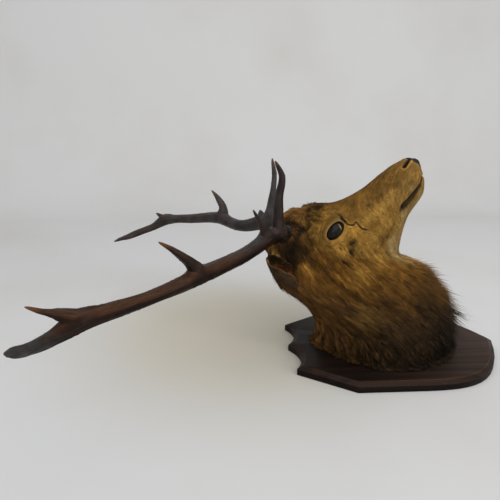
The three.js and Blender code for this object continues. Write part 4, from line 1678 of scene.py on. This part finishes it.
# Each branch: its path and thickness. y is outwards from the middle of the head.
ANTLERS = {
    "right": (
        -1,
        {
            "beam": (
                ((-217, 21, 282), (-273, 54, 281), (-334, 110, 260), (-413, 190, 248),
                 (-486, 255, 236), (-565, 300, 224), (-610, 312, 204), (-655, 308, 181),
                 (-678, 303, 174), (-694, 299, 171)),
                (32, 31, 27, 28, 23, 27, 24, 18, 16, 7),
            ),
            "brow": (
                ((-268, 48, 288), (-267, 53, 355), (-263, 58, 397), (-276, 61, 427)),
                (24, 17, 12.5, 4),
            ),
            "bez": (((-285, 64, 276), (-304, 86, 314), (-319, 100, 342)), (22, 12, 4)),
            "trez": (
                ((-408, 184, 249), (-433, 208, 283), (-453, 220, 303), (-473, 228, 318)),
                (24, 17, 10, 3.5),
            ),
            "crown": (
                ((-566, 300, 224), (-600, 317, 239), (-617, 325, 246), (-639, 335, 259)),
                (23, 14, 10, 3.5),
            ),
        },
    ),
    "left": (
        1,
        {
            "beam": (
                ((-217, 21, 284), (-275, 48, 286), (-337, 100, 267), (-392, 155, 274),
                 (-460, 207, 261), (-520, 241, 250), (-567, 250, 228), (-615, 246, 211),
                 (-662, 236, 196)),
                (32, 34, 25, 26, 22, 22, 18, 14, 4),
            ),
            "brow": (
                ((-275, 44, 290), (-271, 49, 335), (-266, 54, 385), (-270, 58, 422)),
                (24, 15, 10.5, 4),
            ),
            "bez": (((-284, 56, 282), (-292, 61, 300), (-295, 64, 311)), (16, 10, 5)),
            "trez": (
                ((-384, 148, 272), (-376, 144, 296), (-389, 158, 321), (-404, 170, 338)),
                (24, 19, 12, 3.5),
            ),
            "crown": (((-520, 240, 250), (-538, 248, 259), (-553, 255, 267)), (17, 10, 4)),
        },
    ),
}
BRANCH_PARTS = ("beam", "upper_beam", "crown", "brow_tine", "bez_tine", "trez_tine", "crown_tine")
BRANCH_SIDES = 28
BRANCH_STEP = 2.5
# The burr: its place on the beam's line, its half-width and its height.
BURR_AT = 50
BURR_REACH = 5
BURR_RISE = 4
ANTLER_VOXEL = 0.0013
# Reach of the web at each fork, and the dust that lies on each branch.
WEB = {"brow": 22, "bez": 20, "trez": 22, "crown": 40}
DUST = {"brow": 0.3, "bez": 0.25, "trez": 0.1, "crown": 0.0, "beam": 0.0}
# How far from its root a tine reaches its full thickness, and how far its tip is polished.
ROOT_TAPER = {"brow": 20, "bez": 20, "trez": 24, "crown": 52}
TIP_REACH = {"beam": 18, "brow": 18, "bez": 9, "trez": 36, "crown": 40}
# The grain's length against its width, and how far apart the branches' grains are drawn.
GRAIN_DRAW = 0.07
GRAIN_APART = 40
# The direction from which the beams are rubbed and lit: the golden wear on that side is partly a
# painted highlight.
RUBBED_AND_LIT_SIDE = (0, -0.62, 0.78)


def branch_line(path, thickness):
    """Points every few millimetres along a branch, with its radius there."""
    path, thickness = np.array(path, float), np.array(thickness, float)
    dense = np.linspace(0, 1, 400)
    points = spline(path, dense)
    run = np.concatenate([[0], np.cumsum(np.linalg.norm(np.diff(points, axis=0), axis=1))])
    count = int(run[-1] / BRANCH_STEP) + 2
    even = np.interp(np.linspace(0, run[-1], count), run, dense)
    spaced = np.stack([thickness / 2, np.arange(len(thickness)) * 20.0], axis=1)
    return spline(path, even), spline(spaced, even)[:, 0], np.linspace(0, run[-1], count)


def branch_frames(points):
    """Two directions across a line at each point, carried along without twist."""
    ways = unit(np.gradient(points, axis=0))
    across = np.empty_like(points)
    across[0] = unit(np.cross(ways[0], (0.1, 0.2, 1.0)))
    for i in range(1, len(points)):
        kept = across[i - 1] - ways[i] * (across[i - 1] @ ways[i])
        across[i] = unit(kept)
    return ways, across, np.cross(ways, across)


def branch_tube(points, radii, flat):
    """Corners and faces of a closed tube with a rounded tip."""
    _, across, other = branch_frames(points)
    count = len(points)
    close = np.minimum(1, np.sqrt(np.maximum(1 - ((np.arange(count) - count + 3) / 2.6), 0)))
    radii = radii * np.where(np.arange(count) > count - 4, close, 1)
    angle = turns(BRANCH_SIDES)
    ring = (
        across[:, None] * (np.cos(angle)[:, None] * (radii * flat)[:, None, None])
        + other[:, None] * (np.sin(angle)[:, None] * radii[:, None, None])
    )
    corners = np.concatenate([(points[:, None] + ring).reshape(-1, 3), points[:1], points[-1:]])
    return corners, grid_quads(count, BRANCH_SIDES), end_fans(count, BRANCH_SIDES)


def around_branch(places, points, radii, run):
    """For each place: its height over a branch, its way from the branch's line, how far along
    it lies, and where across."""
    ways, across, other = branch_frames(points)
    tree = tree_of(points)
    found = np.array([tree.find(place)[1:] for place in places])
    index = found[:, 0].astype(int)
    arm = places - points[index]
    along = run[index] + (arm * ways[index]).sum(1)
    local = np.stack([(arm * across[index]).sum(1), (arm * other[index]).sum(1)], 1)
    return found[:, 1] - radii[index], arm, along, local


class STAG_OT_antlers(bpy.types.Operator):
    """Add both antlers, each one piece from burr to tines"""

    bl_idname = "stag.antlers"
    bl_label = "Antlers"

    def execute(self, context):
        settings = context.scene.stag_mount
        finish = antler_finish(settings.antler)
        for name, (side, branches) in ANTLERS.items():
            made, lines = self.tubes(f"antler_{name}", side, branches)
            select_only(made)
            made.data.remesh_voxel_size = ANTLER_VOXEL
            bpy.ops.object.voxel_remesh()
            apply(made, "Soften", "SMOOTH", iterations=5)
            bpy.ops.object.shade_smooth()
            marks = self.join(made, lines)
            self.carve(made, settings.antler.ridge / MM, *marks)
            parts = [f"antler_{name}_{part}" for part in BRANCH_PARTS]
            dress(made, finish, "antler_bone", *parts)
        return {"FINISHED"}

    def tubes(self, name, side, branches):
        """All branches of one antler as tubes, and their lines, radii and lengths."""
        lines = {}
        corners, quads, fans, first = [], [], [], 0
        for branch, (path, thickness) in branches.items():
            points, radii, run = branch_line(path, thickness)
            points = points * (1, side, 1)
            flat = np.ones(len(points))
            if branch in ROOT_TAPER:
                radii = radii * (0.4 + 0.6 * smooth_step(0, ROOT_TAPER[branch], run))
            if branch == "beam":
                radii = radii + BURR_RISE * bell(run - BURR_AT, BURR_REACH)
                flat = 1 - 0.25 * smooth_step(0.66, 0.82, run / run[-1])
            lines[branch] = (points, radii, run)
            tube, tube_quads, tube_fans = branch_tube(points, radii, flat)
            corners.append(tube)
            quads.append(tube_quads + first)
            fans.append(tube_fans + first)
            first += len(tube)
        return new_object(name, *map(np.concatenate, (corners, quads, fans))), lines

    def smooth_webs(self, made, places, share):
        """Moves the forks' corners out and rounds them."""
        move_corners(made, places)
        group = made.vertex_groups.new(name="webs")
        for i in np.flatnonzero(share > 0.15):
            group.add([int(i)], min(1.0, float(share[i])), "REPLACE")
        apply(made, "Round the webs", "SMOOTH", vertex_group=group.name, iterations=60)
        made.vertex_groups.clear()
        made.data.update()

    def join(self, made, lines):
        """Webs at the forks. Gives each corner's place in the grain and its share of tip, burr,
        crown, dust and the beam's flattened end."""
        places, normals = corners_of(made)
        count = len(places)
        best = np.full(count, np.inf)
        grain = np.zeros((count, 3))
        tip, burr, crown, web, dust, spade, crease = np.zeros((7, count))
        push = normals.copy()
        for number, (branch, line) in enumerate(lines.items()):
            points, _, run = line
            depth, arm, along, local = around_branch(places, *line)
            nearer = depth < best
            best = np.where(nearer, depth, best)
            local = np.column_stack([local, along * GRAIN_DRAW + number * GRAIN_APART])
            grain[nearer] = local[nearer]
            reach = min(TIP_REACH[branch], run[-1] * 0.45)
            tip = np.where(nearer, 1 - smooth_step(0, reach, run[-1] - along), tip)
            dust = np.where(nearer, DUST[branch], dust)
            if branch == "beam":
                on_beam, from_beam = depth, unit(arm)
                burr = bell(along - BURR_AT, BURR_REACH + 1)
                crown = smooth_step(0.6, 0.85, along / run[-1])
                spade = smooth_step(0.8, 0.92, along / run[-1])
                continue
            burr = np.where(nearer, 0, burr)
            spade = np.where(nearer, 0, spade)
            wide = WEB[branch]
            touching = smooth_step(6, 2, np.minimum(np.abs(depth), np.abs(on_beam)))
            near = np.maximum(1 - np.abs(depth - on_beam) / wide, 0) * touching
            crease = np.maximum(crease, near * touching)
            between = unit(from_beam + unit(arm))
            facing = smooth_step(-0.2, 0.5, between @ unit(points[6] - points[0]))
            bulge = near**2 * wide / 4 * facing
            push = np.where((bulge > web)[:, None], unit(normals + between * near[:, None]), push)
            web = np.maximum(web, bulge)
        self.smooth_webs(made, places + push * web[:, None], np.maximum(web, 1.5 * crease))
        return grain, tip, burr, crown, dust, spade

    def carve(self, made, ridge, grain, tip, burr, crown, dust, spade):
        """Ridges, pearls, the burr's knobs and the attributes that the finish reads."""
        places, normals = corners_of(made)
        near_side = places[:, 1] < 0
        away = np.abs(places[:, 1])
        tip = tip * (1 - spade * near_side)
        fade = 1 - tip
        rough = ridge * (1 + crown + 0.5 * smooth_step(120, 60, away))
        height = (cloud(grain, 2.6, 1.7) - 0.5) * 2 * rough * fade
        height += (cloud(grain, 6.5, 4.1) - 0.5) * 2.4 * rough * fade
        pearls = np.maximum(cloud(places, 4.5, 9.3) - 0.66, 0) * 2.0 * fade
        knobs = (cloud(places, 5.0, 2.9) - 0.3) * 2.6 * burr
        move_corners(made, places + normals * (height + pearls + knobs)[:, None])
        out = smooth_step(90, 160, away) * 0.8 + 0.2
        # Partly wear and partly a painted highlight: sides that face up and towards -Y turn golden.
        facing = normals @ unit(np.array(RUBBED_AND_LIT_SIDE, float))
        rubbed = smooth_step(0.45, 0.95, facing) * out * (1 - 0.85 * spade * near_side)
        # Surfaces that face up turn grey: partly dust, partly a painted sheen.
        lying = smooth_step(0.2, 0.9, normals[:, 2]) * (1 - out * 0.7)
        # The far antler is greyer all over.
        dust = np.maximum(dust + 0.7 * (places[:, 1] > 0), spade * 0.9)
        write_attribute(made, "grain", "FLOAT_VECTOR", "vector", grain * MM)
        write_attribute(made, "rubbed", "FLOAT", "value", rubbed)
        write_attribute(made, "tip_share", "FLOAT", "value", tip)
        write_attribute(made, "dusty", "FLOAT", "value", np.clip(dust + lying, 0, 1))


# ---- Shield ----


class STAG_OT_board(bpy.types.Operator):
    """Add the mahogany shield with its rounded edges"""

    bl_idname = "stag.board"
    bl_label = "Shield"

    def execute(self, context):
        settings = context.scene.stag_mount.board
        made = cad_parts["board"].copy()
        made.data = made.data.copy()
        made.name = made.data.name = "mahogany_shield"
        made.parent = None
        for key in list(made.keys()):
            del made[key]
        context.scene.collection.objects.link(made)
        select_only(made)
        bpy.ops.object.mode_set(mode="EDIT")
        bpy.ops.mesh.select_all(action="SELECT")
        bpy.ops.mesh.remove_doubles(threshold=1e-5)
        bpy.ops.mesh.dissolve_limited(angle_limit=math.radians(1))
        bpy.ops.object.mode_set(mode="OBJECT")
        apply(
            made, "Rounded edges", "BEVEL", width=settings.edge, segments=3,
            angle_limit=math.radians(20), harden_normals=True,
        )
        bpy.ops.object.shade_smooth_by_angle(angle=math.radians(30))
        dress(made, board_finish(settings), "mahogany_board", "board")
        return {"FINISHED"}


# ---- Coat ----

# Width of a tuft in millimetres, from nose to shield.
WIDTH = ((0, 0.8), (4, 0.9), (8, 1.0), (10, 1.15), (13, 1.35), (16, 1.5))
# Where the hair is at its curliest on the crest, and where it stands out at the throat.
CREST = ((6.7, 0), (7.3, 1), (9.2, 1), (10, 0))
THROAT = ((9.2, 0), (10.2, 1), (13.5, 1), (15, 0))
SHORTEST_FRINGE = 11


def hair_lengths(settings):
    """Length of the hair from nose to shield, in millimetres."""
    face, neck, mane = settings.face_hair / MM, settings.neck_hair / MM, settings.mane_hair / MM
    return (
        (0, face * 0.5), (2, face * 0.7), (5, face), (7.5, face * 1.35), (9, neck * 0.6),
        (10.2, neck), (11.6, mane * 0.7), (13, mane * 0.9), (16, mane),
    )


# The side of a piece that lies on the top line: others are 1 for left, -1 for right, 0 for both.
TOP = 2
# Each coat piece: its sections from nose to shield, its side, the count it draws on and its
# share of that, the rings of a tuft, how many share a clump, how far the clump draws them in,
# and the share that strays.
COAT_PIECES = (
    ("muzzle_hair", (0.3, 5.2), 0, "face_tufts", 0.46, 1, 5, 0.2, 0.04),
    ("cheek_hair", (4.8, 9.2), 0, "face_tufts", 0.54, 1, 6, 0.3, 0.06),
    ("crest_hair", (6.7, 10.2), TOP, "face_tufts", 0.085, 3, 9, 0.5, 0.14),
    ("neck_hair_right", (8.6, 12.4), -1, "neck_tufts", 0.5, 2, 20, 0.5, 0.08),
    ("neck_hair_left", (8.6, 12.4), 1, "neck_tufts", 0.5, 2, 20, 0.5, 0.08),
    ("mane_upper_right", (11.4, 14.2), -1, "mane_tufts", 0.25, 2, 33, 0.65, 0.1),
    ("mane_upper_left", (11.4, 14.2), 1, "mane_tufts", 0.25, 2, 33, 0.65, 0.1),
    ("mane_lower_right", (13.6, 16.2), -1, "mane_tufts", 0.25, 2, 36, 0.7, 0.08),
    ("mane_lower_left", (13.6, 16.2), 1, "mane_tufts", 0.25, 2, 36, 0.7, 0.08),
)
SLOT_OF = {
    "muzzle": "face_coat", "cheek": "face_coat", "crest": "face_coat",
    "neck": "neck_coat", "mane": "mane_coat",
}


def growth(coat, span, side):
    """How thickly a piece's hair grows over the grid."""
    inside = smooth_step(span[0], span[0] + 0.5, coat.share)
    inside = inside * (1 - smooth_step(span[1] - 0.5, span[1], coat.share))
    inside[len(coat.at) :] = 0
    around = {
        0: np.ones(COLUMNS),
        TOP: smooth_step(0.45, 0.8, np.cos(coat.angle)),
    }.get(side, (np.sin(coat.angle) * side > -0.02).astype(float))
    return coat.bare * inside[:, None] * around[None, :]


def hair_tints(settings, colours, at, leader, rng):
    """Each tuft's colour: the marking's, uneven from clump to clump and from tuft to tuft, with
    browner and blacker locks among the long hair."""
    count = len(at)
    uneven = np.interp(at, (0, 7, 10), (0.06, 0.1, 0.15))
    clump = (rng.normal(0, 1, count) * uneven)[leader]
    own = rng.normal(0, 1, count) * uneven
    tint = colours * np.clip(1 + clump + own, 0.5, 1.6)[:, None]
    long_ = smooth_step(9, 12, at)
    for name, portion, strength in (("brown", 0.12, 0.4), ("black", 0.14, 0.5)):
        share = (rng.random(count) < portion) * long_ * strength
        tint = worn(tint, share, in_palette(settings, name))
    return tint


def piece_map(coat, span, side, row, column):
    """Root places on the map of one piece."""
    rows = (np.searchsorted(coat.share, span[0]), np.searchsorted(coat.share, min(span[1], SPANS)))
    if side == TOP:
        column = (column + COLUMNS / 2) % COLUMNS
    first, last = {0: (0, 1), 1: (0, 0.5), -1: (0.5, 1), TOP: (0.32, 0.68)}[side]
    return map_of(row, column, rows, (COLUMNS * first, COLUMNS * last))


def coat_piece(settings, coat, finish, piece):
    """One piece of the coat, from its row of the table."""
    name, span, side, source, portion, rings, gather, pull, strays = piece
    rng = np.random.default_rng(SEED + sum(map(ord, name)))
    count = int(getattr(settings, source) * portion)
    lie = coat.lie
    row, column = choose_roots(lie, growth(coat, span, side), count, rng)
    column = column % COLUMNS
    at = np.interp(row, np.arange(len(coat.share)), coat.share)
    angle = column / COLUMNS * 2 * math.pi
    # Where the hair is curly, and where it hangs loose.
    crest = smooth_step(0.4, 0.8, np.cos(angle)) * by_section(CREST, at) * (side == TOP)
    throat = smooth_step(0.45, 0.95, -np.cos(angle)) * by_section(THROAT, at)
    # Lengths, widths and heights.
    depth = by_section(DEPTH, at) * thicker_below(angle)
    length = by_section(hair_lengths(settings), at) * rng.uniform(0.7, 1.2, count)
    curly = settings.crest_hair / MM * rng.uniform(0.5, 1.1, count)
    length = length + (curly - length) * crest
    height = depth * rng.uniform(0.2, 1.0, count) + crest * rng.uniform(0, 4, count)
    width = by_section(WIDTH, at) * rng.uniform(0.65, 1.35, count)
    roots = lie.sample(lie.places, row, column)
    swirl = (cloud(roots, 14.0, 3.3) - 0.5) * (0.5 + 3.2 * crest) + rng.normal(0, 0.12, count)
    fall = lie.sample(coat.to_board, row, column) / np.cos(lie.sample(lie.turn, row, column))
    length = np.minimum(length, np.maximum(fall + rng.uniform(4, 22, count), SHORTEST_FRINGE))
    length = before_bare(coat, row, column, swirl, length)
    loose = rng.random(count) < strays + 0.22 * throat
    stray = np.where(loose, rng.uniform(0.3, 0.85, count), rng.uniform(0, 0.1, count))
    stray = np.clip(stray + 0.15 * crest + throat * rng.uniform(0, 0.35, count), 0, 1)
    length = length * (1 + 0.4 * throat * loose)
    lift = 0.12 + throat * rng.uniform(0, 0.75, count) + crest * rng.uniform(0, 0.25, count)
    points, normals = tuft_paths(lie, row, column, length, height, rings, swirl, stray, lift, SAG)
    # Clumps: each tuft is drawn towards its leader, most of all at the tip.
    leader = leaders_of(roots, gather, rng)
    run = np.arange(rings + 1) / rings
    hold = (pull * (1 - loose * 0.7))[:, None, None]
    points = points + (points[leader] - points) * run[None, :, None] ** 1.2 * hold
    # Waves across the way of the hair.
    phase = rng.uniform(0, 2 * math.pi, count)
    aside = unit(np.cross(unit(points[:, -1] - points[:, 0]), normals[:, 0]))
    wave = np.sin(run[None, :] * 5 + phase[:, None]) * run[None, :]
    wave = wave * (length * (0.03 + 0.12 * crest))[:, None]
    points = points + aside[:, None, :] * wave[..., None]
    points[..., 2] = np.maximum(points[..., 2], BOARD_TOP + 0.5)
    tint = hair_tints(settings, lie.sample(coat.full_colours, row, column), at, leader, rng)
    spots = piece_map(coat, span, side, row, column)
    made = tuft_mesh(name, points, normals, width, tint, spots)
    return dress(made, finish, SLOT_OF[name.split("_")[0]])


# Long hair's droop in each millimetre of its length.
SAG = (0.05, 0, -0.12)


def before_bare(coat, row, column, swirl, length):
    """Lengths cut back so that hair stops short of the mouth, the slit and the eyes."""
    _, fall, swing = coat.lie.heading(row, column, swirl)
    kept = length.copy()
    for share in (1.0, 0.75, 0.5, 0.25):
        there = coat.lie.sample(
            coat.bare, row + fall * length * share, column + swing * length * share
        )
        kept = np.where(there < 0.6, length * max(share - 0.3, 0.15), kept)
    return kept


class STAG_OT_coat(bpy.types.Operator):
    """Add the hair of face, neck and mane"""

    bl_idname = "stag.coat"
    bl_label = "Coat"

    def execute(self, context):
        settings = context.scene.stag_mount.coat
        coat = Coat.get(settings)
        face = hair_finish("short_deer_hair", 0.86, 1.2, 0.62)
        mane = hair_finish("long_deer_mane_hair", 0.45, 1.15, 0.5)
        for piece in COAT_PIECES:
            coat_piece(settings, coat, face if piece[3] == "face_tufts" else mane, piece)
        return {"FINISHED"}


# ---- Stage, in metres ----

CAMERA_AT = (-0.3632, -0.9067, 0.4998)
CAMERA_TOWARDS = (-0.3198, 0.0, 0.2369)
CAMERA_LENS = 32.4
CAMERA_SENSOR = 36
# Each lamp: where it stands, where it points, its width and the setting of its power.
LAMPS = (
    ("lamp_overhead", (-0.1, -0.35, 1.9), (-0.25, 0.05, 0.1), 1.8, "lamp"),
    ("wide_window", (0.5, -3.2, 1.8), (-0.2, 0.0, 0.2), 4.2, "window"),
    ("small_window", (1.5, -1.25, 0.75), (-0.15, 0.0, 0.28), 0.2, "lamp"),
)
PAPER_BEND_AT = 1.4
PAPER_BEND_RADIUS = 0.6
PAPER_NEAR = -2.2
PAPER_HEIGHT = 2.2
PAPER_HALF_WIDTH = 3.2


class STAG_OT_stage(bpy.types.Operator):
    """Add the paper, the lights and the camera"""

    bl_idname = "stag.stage"
    bl_label = "Stage"

    def execute(self, context):
        settings = context.scene.stag_mount.stage
        scene = context.scene
        line = [(PAPER_NEAR, 0.0)]
        for t in np.linspace(0, math.pi / 2, 24):
            reach = PAPER_BEND_AT + PAPER_BEND_RADIUS * math.sin(t)
            line.append((reach, PAPER_BEND_RADIUS * (1 - math.cos(t))))
        line.append((PAPER_BEND_AT + PAPER_BEND_RADIUS, PAPER_HEIGHT))
        corners = [(x, y, z) for y, z in line for x in (-PAPER_HALF_WIDTH, PAPER_HALF_WIDTH)]
        quads = [[2 * i, 2 * i + 1, 2 * i + 3, 2 * i + 2] for i in range(len(line) - 1)]
        paper = new_object("paper_sweep", np.array(corners) / MM, quads)
        paper.data.materials.append(paper_finish(settings))
        camera = bpy.data.cameras.new("camera")
        camera.lens = CAMERA_LENS
        camera.sensor_width = CAMERA_SENSOR
        camera.clip_start = 0.01
        scene.camera = aimed("camera", camera, CAMERA_AT, CAMERA_TOWARDS)
        for name, place, towards, width, source in LAMPS:
            light = bpy.data.lights.new(name, "AREA")
            light.size = width
            light.energy = getattr(settings, source)
            aimed(name, light, place, towards)
        world = bpy.data.worlds.new("room")
        world.use_nodes = True
        shade = world.node_tree.nodes["Background"]
        shade.inputs["Color"].default_value = rgba(linear("#eef0f4"))
        shade.inputs["Strength"].default_value = settings.sky
        scene.world = world
        scene.view_settings.view_transform = "Standard"
        return {"FINISHED"}


# ---- Panel and run ----


class STAG_PT_mount(bpy.types.Panel):
    """Pieces and settings of the mount"""

    bl_idname = "STAG_PT_mount"
    bl_label = "Stag mount"
    bl_space_type = "VIEW_3D"
    bl_region_type = "UI"
    bl_category = "Stag mount"

    def draw(self, context):
        settings = context.scene.stag_mount
        for part in ("coat", "head", "antler", "board", "stage"):
            box = self.layout.box()
            box.label(text=part.capitalize())
            group = getattr(settings, part)
            for name in group.__annotations__:
                box.prop(group, name)
        for piece in PIECES:
            self.layout.operator(piece.bl_idname)


PIECES = (
    STAG_OT_stage, STAG_OT_board, STAG_OT_skin, STAG_OT_nose, STAG_OT_eyes,
    STAG_OT_lid_hair, STAG_OT_ears, STAG_OT_antlers, STAG_OT_coat,
)
CLASSES = (
    StagCoatSettings, StagHeadSettings, StagAntlerSettings, StagBoardSettings,
    StagStageSettings, StagMountSettings, *PIECES, STAG_PT_mount,
)


def register():
    for made in CLASSES:
        bpy.utils.register_class(made)
    bpy.types.Scene.stag_mount = bpy.props.PointerProperty(type=StagMountSettings)


def unregister():
    del bpy.types.Scene.stag_mount
    for made in reversed(CLASSES):
        bpy.utils.unregister_class(made)


def main():
    register()
    for piece in PIECES:
        getattr(bpy.ops.stag, piece.bl_idname.removeprefix("stag."))()


if __name__ == "__main__":
    main()
